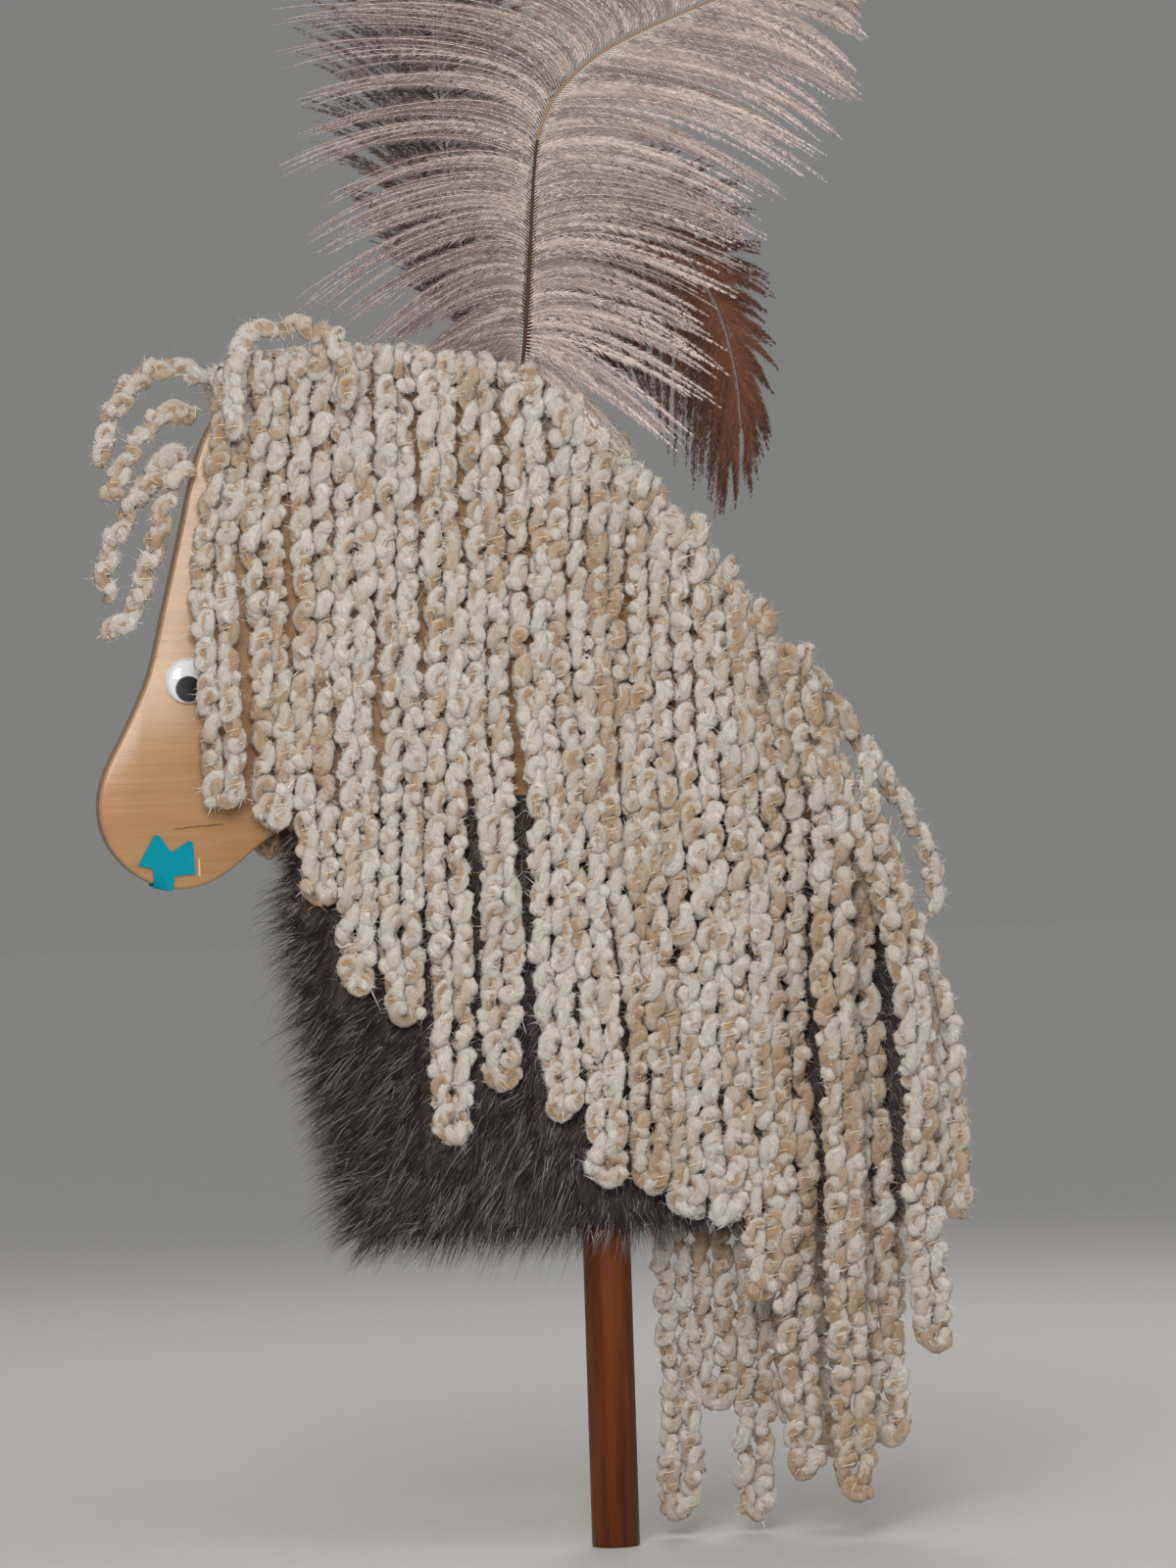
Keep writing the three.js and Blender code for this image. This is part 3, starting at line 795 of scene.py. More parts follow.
    def loose_fibres(self, fuzz: Gather, rng: np.random.Generator, middle: np.ndarray, skin: np.ndarray,
                     along: np.ndarray, colour: np.ndarray) -> None:
        """Lays short fluff over a roving's skin, and stands longer curled wisps out of it."""
        for kind in (FLUFF, WISPS):
            count = int(len(middle) * self.step * kind.per_mm)
            place = rng.integers(1, len(middle) - 1, count)
            corner = rng.integers(0, self.corners, count)
            ahead = rng.uniform(0, 1, (count, 1))
            root = mixed(skin[place, corner], skin[place - 1, (corner + 1) % self.corners], ahead)
            out = unit(root - middle[place])
            lean = unit(out * rng.uniform(*kind.rise, (count, 1))
                        + along[place] * rng.uniform(-1.2, 1.2, (count, 1)) + rng.normal(0, 0.45, (count, 3)))
            curl = unit(rng.normal(0, 1, (count, 3)) - out * 0.5)
            length = rng.gamma(3.2, kind.size, count)[:, None] * MM
            lines = np.stack([root - out * 0.0002, root + lean * length * 0.5,
                              root + lean * length * 0.85 + curl * length * 0.35], 1)
            lines = lines[:, [0, 2]] if kind.places == 2 else lines
            across = unit(np.cross(lean, rng.normal(0, 0.6, (count, 3)) + out))
            tanned = (colour[place] + rng.normal(0, 0.15, count) > 0.62).astype(int)
            fuzz.blades(lines, rng.uniform(*kind.width, count) * MM, across,
                        np.tile(tanned[:, None], (1, kind.places - 1)))

    def binder(self, fuzz: Gather, rng: np.random.Generator, strand: Strand, rovings: list) -> None:
        """Winds the thin thread over whatever the two rovings stand out to."""
        angle = 2 * math.pi * strand.run / (self.puff * 0.8) + 1.6 * wander(rng, strand.run, 13)
        out = np.cos(angle)[:, None] * strand.first + np.sin(angle)[:, None] * strand.second
        stands = [((middle - strand.line) * out).sum(1) + radius for middle, radius in rovings]
        far = levelled(np.maximum(*stands) * 0.97)
        fuzz.tube((strand.line + out * far[:, None]) * MM, self.thread * MM, out, 4, slot=2)

    def skein(self, name: str, node: str | None, strands: list, seed: int, tan: float) -> tuple:
        """Makes the yarn and its fuzz for one lock.

        Args:
            name: the lock's name.
            node: the frame node that it stands for.
            strands: pairs of a strand's points and the direction across it, or triples with its scale.
            seed: starts the random draws.
            tan: how tan it is.

        Returns:
            The yarn and the fuzz.
        """
        wool, fuzz = Gather(), Gather()
        for k, (points, across, *scale) in enumerate(strands):
            self.strand(wool, fuzz, points, across, seed * 17 + k, tan, *scale)
        yarn = wool.build(f"{name}_yarn", [WOOL], "yarn")
        if node:
            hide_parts(node)
        return yarn, fuzz.build(f"{name}_fuzz", [FUZZ_CREAM, FUZZ_TAN, BINDER], "yarn")


@dataclass
class Mane:
    """The yarn mane: doubled locks on both flanks, single forelocks, a loop on the crest and a stray strand.

    A lock is where it is sewn along the crest, where it hangs, its loop end in X and Z, and how far it lies
    out over its neighbours. Millimetres.
    """

    yarn: Yarn = field(default_factory=Yarn)
    crest: Crest = field(default_factory=Crest)
    leg: float = 5.0
    near: tuple = (
        (-161, -176.5, -177.5, 346), (-146, -154, -153, 335), (-129, -132, -134, 301),
        (-111, -112, -117, 259), (-92, -91.5, -96, 247), (-73, -71, -75, 189), (-54, -51.5, -50.5, 214),
        (-35, -31, -24, 199),
        (-16, -12.5, -5, 167), (2, 4.5, 17, 164), (19, 24, 35, 152), (36, 46, 53, 147), (52, 66, 69, 112),
        (67, 85, 86, 29), (81, 103, 105, 21, LAYER), (94, 118, 126, 43), (105, 138, 145, 87, LAYER),
        (121, 156, 163, 145))
    far: tuple = (
        (-157, -166, -168, 352), (-138, -144, -147, 322), (-120, -122, -122, 288), (-101, -102, -106, 262),
        (-82, -81, -84, 226), (-63, -61, -60, 238), (-44, -41, -38, 196), (-25, -22, -20, 186),
        (-7, -2, -1, 176), (11, 17, 20, 158), (28, 36, 37, 9), (44, 55, 55, 60), (60, 75, 74, 8),
        (75, 94, 93, 52), (89, 113, 117, 34, LAYER), (102, 131, 139, 96))
    forelocks: tuple = (
        ((-177, 0, 541), (-191, 0, 544), (-206, 0, 539), (-217, 0, 526), (-222, 0, 514), (-224.5, 0, 503)),
        ((-180.5, -3, 521), (-191, -6, 524), (-203, -7, 517), (-211, -7, 506.5), (-217.5, -7, 496),
         (-221.5, -7, 485)),
        ((-187.5, -2, 507), (-194, -2, 503.5), (-201.5, -3, 494), (-210, -4, 484), (-216, -4, 473),
         (-221.5, -3, 463), (-225, -2, 452), (-224, -2, 441.5)),
        ((-190, -15, 497), (-197, -15, 486), (-201, -13, 471), (-205, -9, 457), (-208, -5, 443),
         (-214.5, -3, 431), (-226, -3, 424.5)))
    loop: tuple = (
        (-168, -29.5, 512), (-168, -29.5, 530), (-165, -26, 547), (-157, -18, 557), (-143, -14, 560.5),
        (-130, -15, 560), (-120.5, -22, 555), (-116.5, -29, 541), (-117, -29.5, 526))
    stray: tuple = (
        (103, 0, 405), (114, -1, 387), (128, -2, 367), (141, -4, 347), (152, -6, 328), (160, -8, 308),
        (160, -9, 287))
    over_crest: tuple = ((-15, 1.5), (-13.4, 6.6), (-8, 9.2), (0, 9.8), (8, 9.2), (13.4, 6.6), (15, 1.5))
    routes: dict = field(default_factory=dict)

    def surface_under(self, x: float, z: float) -> float:
        """How far out the surface under a lock is, from the middle of the board."""
        flank = HALF_T + 2 * GAP + TAPE_T
        furred = HALF_T + GAP + FUR_T
        over_fur = furred + (flank - furred) * ease(12, 40, z - FUR_TOP)
        near_stick = (1 - ease(19, 27, abs(x))) * (1 - ease(12, 44, z - BULGE_TOP))
        near_eye = (1 - ease(16, 24, abs(x - EYE_X))) * (1 - ease(34, 62, abs(z - EYE_Z)))
        eye_top = HALF_T + 2 * GAP + (EYE_BASE_T + EYE_DOME_H)
        return over_fur + (BULGE_R - over_fur) * near_stick + (eye_top - flank) * near_eye

    def route(self, lock: tuple, side: int, index: int) -> list:
        """The points of a lock's middle, from just above the crest to its loop end.

        Args:
            lock: one entry of near or far.
            side: -1 for the near flank and 1 for the far one.
            index: the lock's number, which sets its sway.

        Returns:
            The points.
        """
        root_x, hang_x, tip_x, tip_z, *lift = lock
        place, out = self.crest.at(root_x)
        top = place + LOCK_RISE * out
        drop = top[1] - tip_z
        count = max(4, round(drop / 28))
        points = []
        for i in range(count + 1):
            fallen = i / count * drop
            height = top[1] - fallen
            settle = ease(0, 90, fallen)
            sway = 1.2 * math.sin(fallen / 24 + index * 1.7) * settle
            x = top[0] + (hang_x - top[0]) * settle + (tip_x - hang_x) * ease(60, drop, fallen) + sway
            stand = self.surface_under(x, height) + GAP + LOCK_R + LOCK_PLAY + sum(lift)
            points.append((x, side * stand, height))
        return points

    def doubled(self, points: list, side: int, seed: int) -> np.ndarray:
        """Folds one strand in two along a route.

        Args:
            points: the lock's middle.
            side: the flank.
            seed: starts the random draws.

        Returns:
            The strand's middle, down one leg, round the loop end and up the other.
        """
        rng = np.random.default_rng(seed)
        line, run = smooth_run(points, 3.0)
        along = unit(np.gradient(line, axis=0))
        out = unit(np.array([0, side, 0.0]) - (side * along[:, 1:2]) * along)
        across = np.cross(along, out)
        lean = 0.5 * wander(rng, run, 60) + 0.2 * wander(rng, run, 25)
        width = self.leg * (0.98 + 0.12 * wander(rng, run, 30) - 0.14 * ease(30, 6, run[-1] - run))
        spread = (np.cos(lean)[:, None] * across + np.sin(lean)[:, None] * out) * width[:, None]
        straight = run < run[-1] - self.leg
        turn = np.linspace(0, math.pi, 9)[1:-1, None]
        last = np.flatnonzero(straight)[-1]
        end = line[last] + spread[last] * np.cos(turn) + along[last] * width[last] * np.sin(turn)
        down, up = (line + spread)[straight], (line - spread)[straight][::-1]
        return np.concatenate([down, end, up])

    def build(self) -> None:
        """Makes every lock, and the strands that cross the crest between them."""
        shades = np.random.default_rng(5).uniform(0.22, 0.62, 60)
        for flank, side, locks, first in (("near", -1, self.near, 0), ("far", 1, self.far, FAR_LOCKS)):
            self.routes[flank] = [self.route(lock, side, i) for i, lock in enumerate(locks, first)]
            for i, points in enumerate(self.routes[flank]):
                seed = 100 + first + i
                name = f"lock_{flank}_{i + 1:02d}"
                strand = self.doubled(points, side, seed)
                pieces = self.yarn.skein(name, name, [(strand, (0, 1, 0))], seed, shades[(i + first) % 60])
        singles = [(f"forelock_{i + 1}", points, (0, 1, 0), 200 + i, 0.45)
                   for i, points in enumerate(self.forelocks)]
        singles += [("crest_loop", self.loop, (0, 1, 0.01), 210, 0.4),
                    ("stray_lock", self.stray, (0, 1, 0.01), 211, 0.4)]
        for name, points, across, seed, tan in singles:
            self.yarn.skein(name, name, [(points, across)], seed, tan)
        self.crown()

    def crown(self) -> None:
        """Lays the strands that cross the crest from flank to flank, where the mane is sewn to its tape."""
        strands = []
        for root_x, *_ in self.near:
            place, out = self.crest.at(root_x)
            along = np.array([out[1], -out[0]])
            for shift in (-self.leg, self.leg):
                over = []
                for y, rise in self.over_crest:
                    x, z = place + out * rise + along * shift
                    over.append((x, y, z))
                strands.append((over, (along[0], 0, along[1])))
        self.yarn.skein("mane_crown", None, strands, 220, 0.42)


@dataclass
class Plume:
    """A soft plume: its quill, and where the barbs of each side end, in X and Z. Millimetres."""

    name: str
    root_x: float
    plane: float
    quill: tuple
    left: tuple
    right: tuple
    tones: tuple
    shaft: Finish
    seed: int
    barbs: int = 150
    clumps: int = 22
    spread: tuple = (1.0, 1.0)
    spacing: float = 0.62
    down: float = 5.2
    droop: float = 0.25
    fade: float = 0.15
    cover: float = 0.0
    # painted shade: how far the left side's down darkens towards its tips
    left_shade: float = 0.0
    gap: float = 0.1
    upper: tuple = rgb(0.11, 0.05, 0.025)

    def side(self, gather: Gather, rng: np.random.Generator, line: np.ndarray, edge: tuple,
             turn: int) -> None:
        """Adds the barbs of one side.

        Args:
            gather: the mesh.
            rng: the random draws.
            line: the quill's middle above the crest.
            edge: where the barbs end, from the lowest to the highest.
            turn: 1 for the left side and -1 for the right.
        """
        along = unit(np.gradient(line, axis=0))
        tips, _ = smooth_run(edge, 1.0)
        share = (np.arange(self.barbs) + rng.uniform(0.2, 0.8, self.barbs)) / self.barbs
        clump = np.clip(np.floor(share * self.clumps + rng.uniform(-0.3, 0.3, self.barbs)), 0, self.clumps)
        clump = clump.astype(int)
        centre = (clump + 0.5) / self.clumps
        shift, depth, lift, long = rng.uniform(-1, 1, (4, self.clumps + 1))[:, clump]
        pull = rng.uniform(0.35, 0.97, self.barbs)
        aim = np.clip(mixed(share, centre + 0.35 * shift / self.clumps, pull), 0, 1)
        aim = aim ** self.spread[0 if turn > 0 else 1]
        where = (share ** 1.12 * (len(line) - 1)).astype(int)
        axis = along[where]
        out = np.stack([-axis[:, 2], np.zeros(self.barbs), axis[:, 0]], 1) * turn
        root = line[where] + out * self.gap + np.array([0, 1.0, 0])
        end2 = tips[(aim * (len(tips) - 1)).astype(int)]
        end = np.stack([end2[:, 0], self.plane + depth * 6 + rng.normal(0, 2.0, self.barbs), end2[:, 1]], 1)
        if turn < 0:
            end[:, 1] -= self.cover * ease(0.42, 0.15, aim)
        end = root + (end - root) * (0.93 + 0.09 * long + rng.uniform(-0.14, 0.06, self.barbs))[:, None]
        reach = np.linalg.norm(end - root, axis=1, keepdims=True)
        low = ease(0.16, 0.02, share)[:, None] * (self.cover > 0)
        start = unit(axis * (0.8 - 0.9 * low) + out * 0.75)
        finish = unit(end - root + np.array([0, 0, -self.droop]) * reach)
        bend1 = root + start * reach * 0.2
        bend2 = end - finish * reach * 0.42 + np.array([0, 0, 0.08]) * reach * (1 - low)
        t = np.linspace(0, 1, 17)[None, :, None]
        paths = ((1 - t) ** 3 * root[:, None] + 3 * t * (1 - t) ** 2 * bend1[:, None]
                 + 3 * t * t * (1 - t) * bend2[:, None] + t ** 3 * end[:, None])
        ripple = np.sin(t * rng.uniform(4, 9, (self.barbs, 1, 1)) + rng.uniform(0, 6, (self.barbs, 1, 1)))
        paths = paths + ripple * t * np.array([0.4, 1.6, 1.1])
        raised = (lift * 4 + rng.normal(0, 1.2, self.barbs))[:, None, None]
        paths = paths + t ** 3 * raised * np.array([0, 0, 1.0])
        across = unit(np.cross(end - root, [0.0, 1.0, 0.0]))
        gather.blades(paths * MM, np.full(self.barbs, 0.24) * MM, across,
                      np.full((self.barbs, 16), len(self.tones)))
        self.down_of(gather, rng, paths, reach[:, 0], self.left_shade if turn > 0 else 0.0)

    def down_of(self, gather: Gather, rng: np.random.Generator, paths: np.ndarray, reach: np.ndarray,
                left_shade: float) -> None:
        """Adds the fine down on both sides of every barb, darkening the left side's down towards its tips as
        painted shade.
        """
        each = int(reach.mean() / self.spacing)
        t = np.sort(rng.uniform(0.03, 0.985, (len(paths), each)), 1)
        spot = t * (paths.shape[1] - 1)
        low = spot.astype(int)
        part = (spot - low)[..., None]
        index = np.arange(len(paths))[:, None]
        here, after = paths[index, low], paths[index, low + 1]
        root = here + (after - here) * part
        along = unit(after - here)
        beside = unit(np.cross(along, [0, 1, 0]))
        streak = rng.uniform(0, len(self.tones) * (1 - self.fade), len(paths))
        for way in (-1, 1):
            tilt = rng.normal(0, 0.5, root.shape[:2])[..., None]
            lean = unit(along * rng.uniform(1.3, 2.8, tilt.shape) + way * beside + tilt * np.array([0, 1, 0]))
            length = self.down * (0.45 + 0.55 * np.sin(math.pi * t ** 0.7)) * (1 - 0.6 * t ** 5)
            length = length * rng.uniform(0.6, 1.25, t.shape)
            tip = root + lean * length[..., None] + np.array([0, 0, -0.1]) * length[..., None]
            lines = np.stack([root, tip], 2).reshape(-1, 2, 3) * MM
            count = len(lines)
            # on the left side the tones drop towards the tips as painted shade
            pick = t * len(self.tones) * (self.fade - left_shade) + streak[:, None] + rng.normal(0, 0.45, t.shape)
            tone = np.clip(pick, 0, len(self.tones) - 1).astype(int).reshape(-1, 1)
            across = unit(np.cross(lean.reshape(-1, 3), rng.normal(0, 0.3, (count, 3)) + np.array([0, 1, 0])))
            gather.blades(lines, np.full(count, 0.19) * MM, across, tone)

    def build(self, crest: Crest) -> None:
        """Makes the quill, the barbs and their down."""
        rng = np.random.default_rng(self.seed)
        place, _ = crest.at(self.root_x)
        foot = [(self.root_x, 0, place[1] - 20), (self.root_x, 0, place[1] + 5),
                (self.root_x, self.plane * 0.5, place[1] + 16)]
        points = foot + [(x, self.plane, z) for x, z in self.quill]
        gather = Gather()
        line, run = smooth_run(points, 1.5)
        thin = mixed(1.0, 0.3, run / run[-1])
        halfway = int(len(line) * 0.45)
        for stretch, slot in ((slice(None, halfway + 1), 1), (slice(halfway, None), 2)):
            gather.tube(line[stretch] * MM, thin[stretch] * MM,
                        np.tile([[0.0, 1.0, 0.0]], (len(line[stretch]), 1)), 8, slot=len(self.tones) + slot)
        bare = run > 36
        self.side(gather, rng, line[bare], self.left, 1)
        self.side(gather, rng, line[bare], self.right, -1)
        shafts = [*self.tones, self.shaft, Finish(f"{self.name}_quill", rgb(0.075, 0.034, 0.015), 0.85, 0.0),
                  Finish(f"{self.name}_quill_top", self.upper, 0.85, 0.0)]
        made = gather.build(f"{self.name}_barbs", shafts, self.name)
        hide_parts(self.name)


@dataclass
class Pelt:
    """The fur on one flank of the neck. Millimetres."""

    flank: str
    side: int
    seed: int
    hairs: int = 39500
    length: float = 22.0
    clump: float = 6.0

    def build(self, covers: np.ndarray) -> None:
        """Makes the skin and the pile.

        Args:
            covers: places in X and Z on the locks that press the pile down.
        """
        node = f"fur_{self.flank}"
        skin = smooth_copy(node, f"{node}_skin", PELT_SKIN)
        rng = np.random.default_rng(self.seed)
        mesh = skin.data
        mesh.calc_loop_triangles()
        corners = np.array([t.vertices for t in mesh.loop_triangles])
        points = np.array([v.co for v in mesh.vertices])[corners]
        normal = np.cross(points[:, 1] - points[:, 0], points[:, 2] - points[:, 0])
        area = np.linalg.norm(normal, axis=1)
        normal = unit(normal)
        middle = points.mean(1)
        outward = normal[:, 1] * self.side > -0.25
        inner = (np.abs(middle[:, 1]) < 1.2 * MM) & (np.abs(normal[:, 1]) > 0.5)
        hidden = (np.abs(middle[:, 1]) < (HALF_T + 1.0) * MM) & (normal[:, 2] > 0.2)
        weight = area * (outward & ~inner & ~hidden)
        pick = rng.choice(len(weight), self.hairs, p=weight / weight.sum())
        a, b = rng.uniform(0, 1, (2, self.hairs, 1))
        flip = a + b > 1
        a, b = np.where(flip, 1 - a, a), np.where(flip, 1 - b, b)
        corner = points[pick]
        root = corner[:, 0] + (corner[:, 1] - corner[:, 0]) * a + (corner[:, 2] - corner[:, 0]) * b
        self.comb(rng, root, normal[pick], covers, node)

    def comb(self, rng: np.random.Generator, root: np.ndarray, normal: np.ndarray, covers: np.ndarray,
             node: str) -> None:
        """Lays the hairs down and towards the throat in clumps."""
        count = len(root)
        flat = root[:, [0, 2]]
        near = np.full(count, 1e9)
        for start in range(0, len(covers), 64):
            gaps = np.linalg.norm(flat[:, None] - covers[None, start:start + 64] * MM, axis=2).min(1)
            near = np.minimum(near, gaps)
        free = ease(9 * MM, 13 * MM, near)
        jitter = rng.normal(0, 0.35, (count, 2))
        cell = np.floor(flat / (self.clump * MM) + jitter).astype(int)
        key = (cell[:, 0] * 92821 + cell[:, 1] * 68917) % 4096
        lean = rng.normal(0, 0.2, (4096, 3))[key]
        x = root[:, 0]
        aside = mixed(mixed(-1.35, -0.62, ease(-0.115, -0.055, x)), mixed(0.0, 0.55, ease(0.01, 0.09, x)),
                      ease(-0.03, 0.015, x))
        fall = np.stack([aside, np.zeros(count), np.full(count, -0.95)], 1)
        fall = unit(unit(fall) + lean + rng.normal(0, 0.12, (count, 3)))
        stand = normal * (0.10 + 0.70 * free)[:, None]
        length = self.length * MM * rng.uniform(0.55, 1.15, count) * (0.5 + 0.5 * free)
        long = rng.uniform(0, 1, count) > 0.95
        length = np.where(long, length * 1.4, length)[:, None]
        first = unit(fall * 0.8 + stand)
        second = unit(fall + stand * 0.35)
        third = unit(fall + np.array([0, 0, -0.25]))
        p1 = root + first * length * 0.36
        p2 = p1 + second * length * 0.36
        p3 = p2 + third * length * 0.34
        sums = np.zeros((4096, 3))
        np.add.at(sums, key, p3)
        tuft = (sums / np.maximum(np.bincount(key, minlength=4096), 1)[:, None])[key]
        near_tuft = ease(16 * MM, 8 * MM, np.linalg.norm(tuft - p3, axis=1))[:, None] * ~long[:, None]
        hold = rng.uniform(0.25, 0.75, (count, 1)) * near_tuft
        p3 = mixed(p3, tuft, hold)
        p2 = mixed(p2, p2 + (tuft - p3) * 0.3, hold)
        lines = np.stack([root - normal * 0.0003, p1, p2, p3], 1)
        across = unit(np.cross(first, normal + rng.normal(0, 0.5, (count, 3))))
        warm = ease(-0.06, 0.03, root[:, 0] + rng.normal(0, 0.02, count)) * ease(0.30, 0.18, root[:, 2])
        fine = np.floor(flat / (1.4 * MM)).astype(int)
        strand = (fine[:, 0] * 7919 + fine[:, 1] * 104729) % 8192
        pale = np.clip(rng.uniform(0, 1, 8192)[strand] + rng.normal(0, 0.1, count), 0, 1)
        brown = rng.uniform(0, 1, count) < 0.22 + 0.5 * warm
        middle = np.where(pale > 0.78, 3, 1 + brown)
        slots = np.stack([brown, np.where(pale < 0.4, 0, middle), np.where(pale > 0.66, 3, 1 + brown)],
                         1).astype(int)
        gather = Gather()
        gather.blades(lines, rng.uniform(0.11, 0.24, count) * MM, across, slots)
        gather.build(f"{node}_pile", list(FUR_TONES), "fur")


def rounded(radius: float, height: float, edge: float) -> list:
    """The rounded outer corner of a turned profile, as radius and height."""
    return [(radius - edge + edge * math.cos(a), height - edge + edge * math.sin(a))
            for a in np.linspace(0, 1.57, 5)]


@dataclass
class Eye:
    """A googly eye: backing disc, loose pupil and clear dome. Millimetres."""

    flank: str
    side: int
    x: float = EYE_X
    z: float = EYE_Z
    radius: float = 10.3
    base: float = EYE_BASE_T
    dome: float = EYE_DOME_H
    skirt: float = 1.9
    wall: float = 0.6
    pupil: float = 5.8
    pupil_thick: float = 1.0

    def turned(self, name: str, profile: list, out: float, drop: float, finish: Finish, slot: str, node: str,
               body: str) -> bpy.types.Object:
        """Turns a profile of radius and height into a piece that faces away from the board.

        Args:
            name: the piece's name.
            profile: radius and height, from the axis or closed on itself.
            out: where its height starts, from the middle of the board.
            drop: how far below the eye's middle its axis is.
            finish: its finish.
            slot: the record's material slot; not used.
            node: the frame node that it replaces.
            body: the body that it rides on.

        Returns:
            The piece.
        """
        shape = np.array(profile, float)
        corners = 72
        angle = np.arange(corners) * 2 * math.pi / corners
        rings = np.stack([shape[:, :1] * np.cos(angle), np.repeat(shape[:, 1:], corners, 1),
                          shape[:, :1] * np.sin(angle)], -1)
        points = rings * np.array([1, self.side, 1]) + np.array([self.x, self.side * out, self.z - drop])
        grid = np.arange(len(shape) * corners).reshape(len(shape), corners)
        turned = np.roll(grid, -1, 1)
        walls = np.stack([grid[:-1], turned[:-1], turned[1:], grid[1:]], -1).reshape(-1, 4)
        if self.side > 0:
            walls = walls[:, ::-1]
        mesh = bpy.data.meshes.new(name)
        mesh.from_pydata((points.reshape(-1, 3) * MM).tolist(), [], walls.tolist())
        return welded(placed(bpy.data.objects.new(name, mesh), [finish], body), 0.01, 45, node)

    def build(self) -> None:
        """Makes the three pieces."""
        foot = HALF_T + GAP
        r, base, wall = self.radius, self.base, self.wall
        disc = [(0, 0), (r, 0), *rounded(r, base, 0.3), (0, base)]
        self.turned(f"eye_base_{self.flank}_disc", disc, foot, 0, EYE_WHITE, "eye_white",
                    f"eye_base_{self.flank}", PUPPET)
        edge = rounded(self.pupil, self.pupil_thick, 0.25)
        coin = [(0, 0), (self.pupil, 0), *edge, (0, self.pupil_thick)]
        self.turned(f"eye_pupil_{self.flank}_coin", coin, foot + base + GAP, r - wall - self.pupil - 0.15,
                    EYE_BLACK, "eye_black", f"eye_pupil_{self.flank}", f"pupil_{self.flank}")
        sweep = np.linspace(0, math.pi / 2, 20)
        outer = [(r * math.cos(a), self.skirt + (self.dome - self.skirt) * math.sin(a)) for a in sweep]
        inner = [((r - wall) * math.cos(a), self.skirt + (self.dome - wall - self.skirt) * math.sin(a))
                 for a in sweep[::-1]]
        shell = [(r - wall, 0), (r, 0), *outer, *inner, (r - wall, 0)]
        self.turned(f"eye_dome_{self.flank}_shell", shell, foot + base + GAP, 0, EYE_DOME, "clear_plastic",
                    f"eye_dome_{self.flank}", PUPPET)


@dataclass
class Studio:
    """Floor, lights and camera. Metres."""

    aim: tuple = (-0.002, 0.0, 0.350)
    azimuth: float = -15.0
    roll: float = 1.8
    distance: float = 3.0
    view_height: float = 0.72
    sensor: float = 36.0

    def camera(self) -> None:
        """Points a level camera, rolled a little, at the puppet."""
        made = bpy.data.cameras.new("camera")
        made.sensor_width = self.sensor
        made.lens = self.sensor * self.distance / self.view_height
        made.clip_start, made.clip_end = 0.05, 60
        rig = bpy.data.objects.new("camera", made)
        turn, roll = math.radians(self.azimuth), math.radians(self.roll)
        back = Vector((math.sin(turn), -math.cos(turn), 0))
        level, up = Vector((math.cos(turn), math.sin(turn), 0)), Vector((0, 0, 1))
        right = level * math.cos(roll) - up * math.sin(roll)
        top = level * math.sin(roll) + up * math.cos(roll)
        rig.matrix_world = Matrix((right, top, back)).transposed().to_4x4()
        rig.location = Vector(self.aim) + back * self.distance
        bpy.context.scene.collection.objects.link(rig)
        bpy.context.scene.camera = rig

    def light(self, name: str, place: tuple, size: float, power: float, colour: tuple) -> None:
        """Adds a square soft box that points at the puppet."""
        lamp = bpy.data.lights.new(name, "AREA")
        lamp.size, lamp.energy, lamp.color = size, power, colour
        rig = bpy.data.objects.new(name, lamp)
        rig.location = place
        rig.rotation_euler = (Vector(self.aim) - Vector(place)).to_track_quat("-Z", "Y").to_euler()
        bpy.context.scene.collection.objects.link(rig)

    def build(self) -> None:
        """Lays the floor and hangs the lights."""
        bpy.ops.mesh.primitive_circle_add(vertices=96, radius=12, fill_type="NGON", location=(0, 0, 0))
        floor = bpy.context.object
        floor.name = "floor"
        finish = SheetFinish("floor_paint", rgb(0.62, 0.61, 0.585), 0.9, 0.0, rgb(0.64, 0.63, 0.605))
        floor.data.materials.append(finish.material())
        self.light("key", (-0.55, -1.5, 0.80), 0.55, 15.5, (1.0, 0.97, 0.93))
        self.light("fill", (1.3, -1.0, 0.6), 1.0, 3.2, (0.93, 0.96, 1.0))
        self.light("rim", (0.5, 1.2, 1.3), 0.8, 8, (1.0, 0.98, 0.95))
        sun = bpy.data.lights.new("ceiling", "SUN")
        sun.energy, sun.angle = 0.55, math.radians(40)
        rig = bpy.data.objects.new("ceiling", sun)
        rig.rotation_euler = (math.radians(35), 0, math.radians(-20))
        bpy.context.scene.collection.objects.link(rig)
        world = bpy.data.worlds.new("studio")
        world.use_nodes = True
        sky = world.node_tree.nodes["Background"]
        sky.inputs["Color"].default_value = rgb(0.60, 0.60, 0.585)
        sky.inputs["Strength"].default_value = 0.36
        bpy.context.scene.world = world
        bpy.context.scene.view_settings.view_transform = "Standard"


PALE_TONES = (Finish("pale_down_shade", rgb(0.25, 0.195, 0.178), 0.75, 0.3),
              Finish("pale_down", rgb(0.42, 0.335, 0.305), 0.75, 0.3),
              Finish("pale_down_light", rgb(0.56, 0.455, 0.42), 0.75, 0.3),
              Finish("pale_down_white", rgb(0.76, 0.64, 0.59), 0.75, 0.3))
RUST_TONES = (Finish("rust_down", rgb(0.19, 0.062, 0.024), 0.7, 0.3),
              Finish("rust_down_mid", rgb(0.13, 0.042, 0.018), 0.7, 0.3),
              Finish("rust_down_dark", rgb(0.045, 0.018, 0.010), 0.7, 0.3))
DARK_TONES = (Finish("dark_down", rgb(0.060, 0.036, 0.026), 0.7, 0.3),
              Finish("dark_down_mid", rgb(0.12, 0.080, 0.062), 0.7, 0.3),
              Finish("dark_down_grey", rgb(0.26, 0.21, 0.185), 0.7, 0.3))
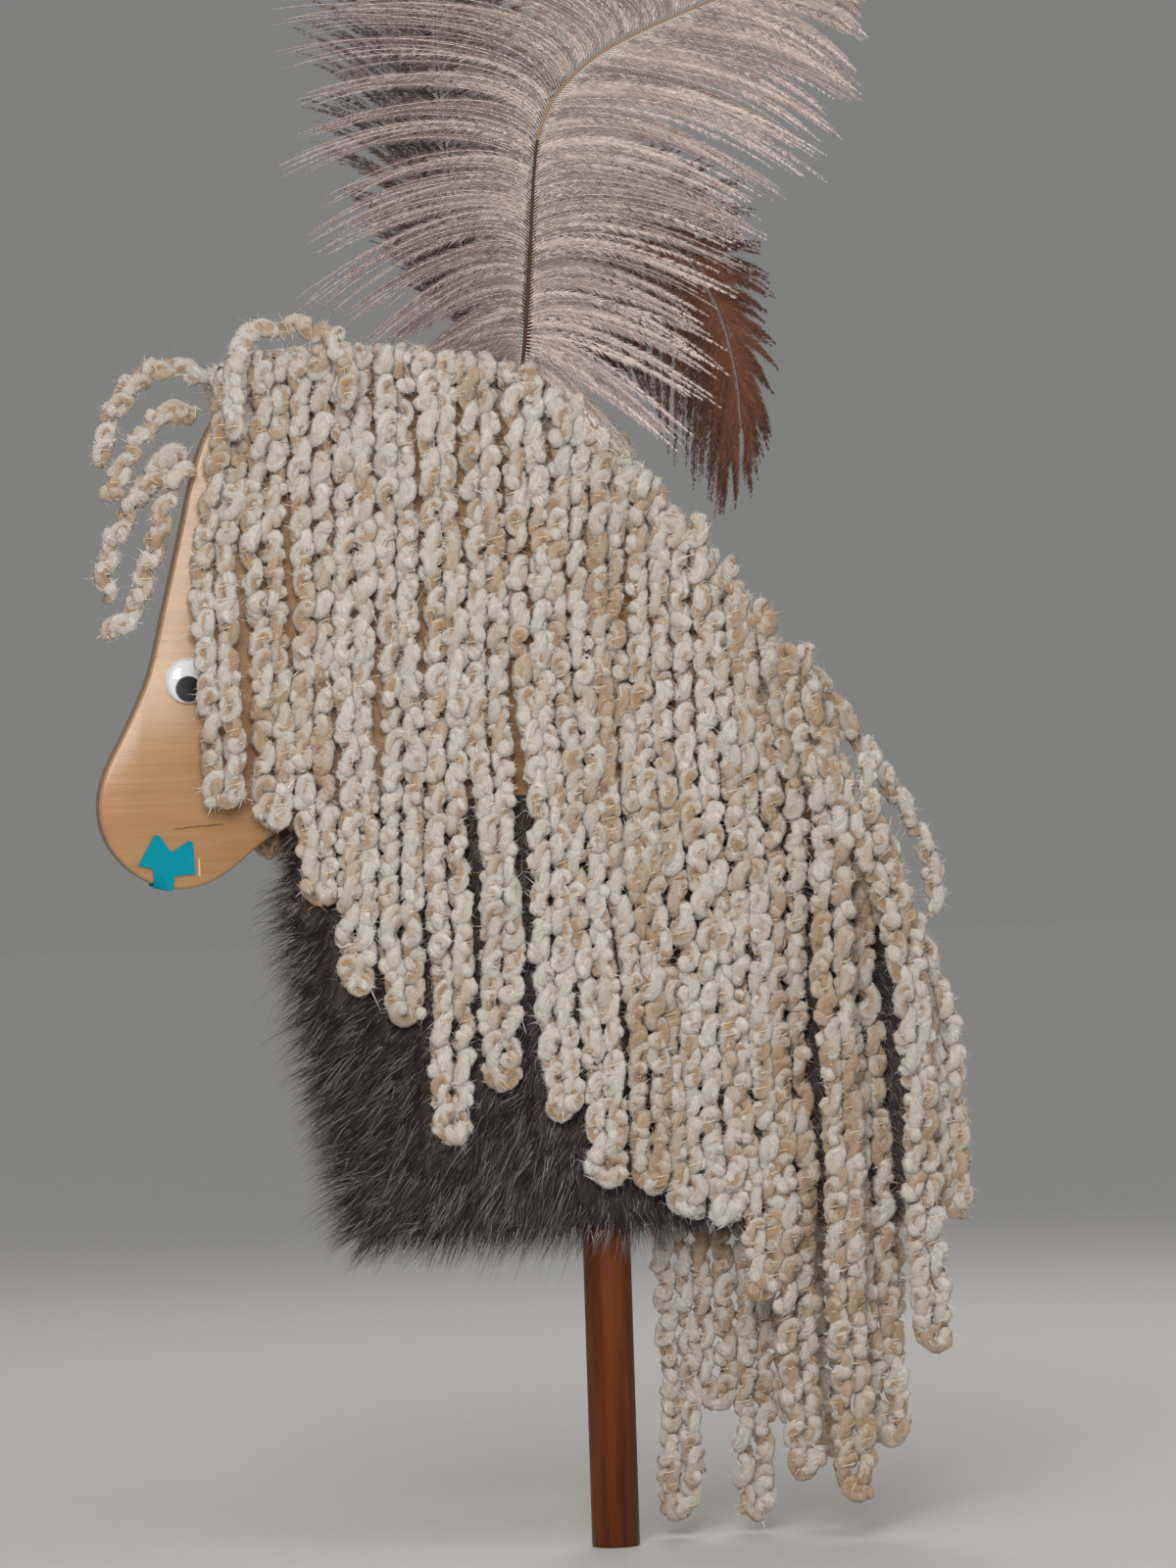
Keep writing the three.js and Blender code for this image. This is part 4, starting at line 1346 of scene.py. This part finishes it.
PLUMES = (
    Plume("plume_pale", -28, -9, ((-27, 560), (-24, 592), (-20.4, 634), (-16.2, 653), (-5.6, 670),
                                  (17.8, 688),
                                  (64, 708), (101, 719), (126, 712)),
          ((-60, 538), (-96, 541), (-112, 549), (-124, 558), (-136, 586), (-131, 606), (-142, 627),
           (-136, 656), (-138, 679), (-140, 694),
           (-126, 714), (-98, 736), (-60, 748), (-15, 752), (30, 754), (75, 754), (112, 746), (136, 730)),
          ((-4, 508), (14, 496), (44, 493), (60, 512), (68, 540), (76, 566), (82, 590), (90, 598),
           (100, 612), (118, 634),
           (131, 648), (141, 675), (138, 697), (143, 708)),
          PALE_TONES, Finish("pale_shaft", rgb(0.78, 0.65, 0.58), 0.5, 0.2), 31, 255, 30, (1.3, 0.5),
          cover=18, left_shade=0.62, gap=0.6, upper=rgb(0.36, 0.21, 0.10)),
    Plume("plume_rust", -17, 3, ((-15, 566), (4, 590), (28, 602), (52, 594), (68, 570), (76, 540), (78, 512)),
          ((-30, 600), (-8, 636), (30, 650), (66, 642), (90, 612), (97, 575), (95, 540), (92, 505),
           (80, 478)),
          ((8, 556), (30, 530), (36, 520), (44, 500), (52, 488), (58, 474), (66, 470), (74, 474)),
          RUST_TONES, Finish("rust_shaft", rgb(0.12, 0.04, 0.018), 0.9, 0.2), 32, 150, 26, fade=0.6),
    Plume("plume_dark", -39, 12, ((-42, 562), (-50, 600), (-58, 650), (-60, 700), (-56, 738)),
          ((-88, 590), (-118, 640), (-128, 700), (-104, 742), (-70, 752)),
          ((-16, 584), (2, 640), (14, 700), (0, 742), (-38, 752)),
          DARK_TONES, Finish("dark_shaft", rgb(0.14, 0.09, 0.07), 0.5, 0.2), 33, 120, 22))


def main() -> None:
    """Builds the puppet and its studio, and reports each piece."""
    logging.basicConfig(level=logging.INFO, format="%(message)s")
    studio = Studio()
    studio.camera()
    mane = Mane()
    mane.build()
    smooth_copy("head_board", "plywood_head", PLYWOOD)
    smooth_copy("stick", "turned_dowel", DOWEL)
    smooth_copy("mane_tape", "mane_tape_band", TAPE)
    smooth_copy("muzzle_patch", "foam_bow", FOAM)
    for number in (1, 2):
        smooth_copy(f"cross_screw_{number}", f"zinc_screw_{number}", ZINC)
    for flank, side, locks, first in (("near", -1, mane.near, 0), ("far", 1, mane.far, FAR_LOCKS)):
        Eye(flank, side).build()
        routes = [smooth_run(mane.route(lock, side, i + first), 8.0)[0] for i, lock in enumerate(locks)]
        Pelt(flank, side, 50 + side).build(np.concatenate(routes)[:, [0, 2]])
    for plume in PLUMES:
        plume.build(mane.crest)
    studio.build()


if __name__ == "__main__":
    main()
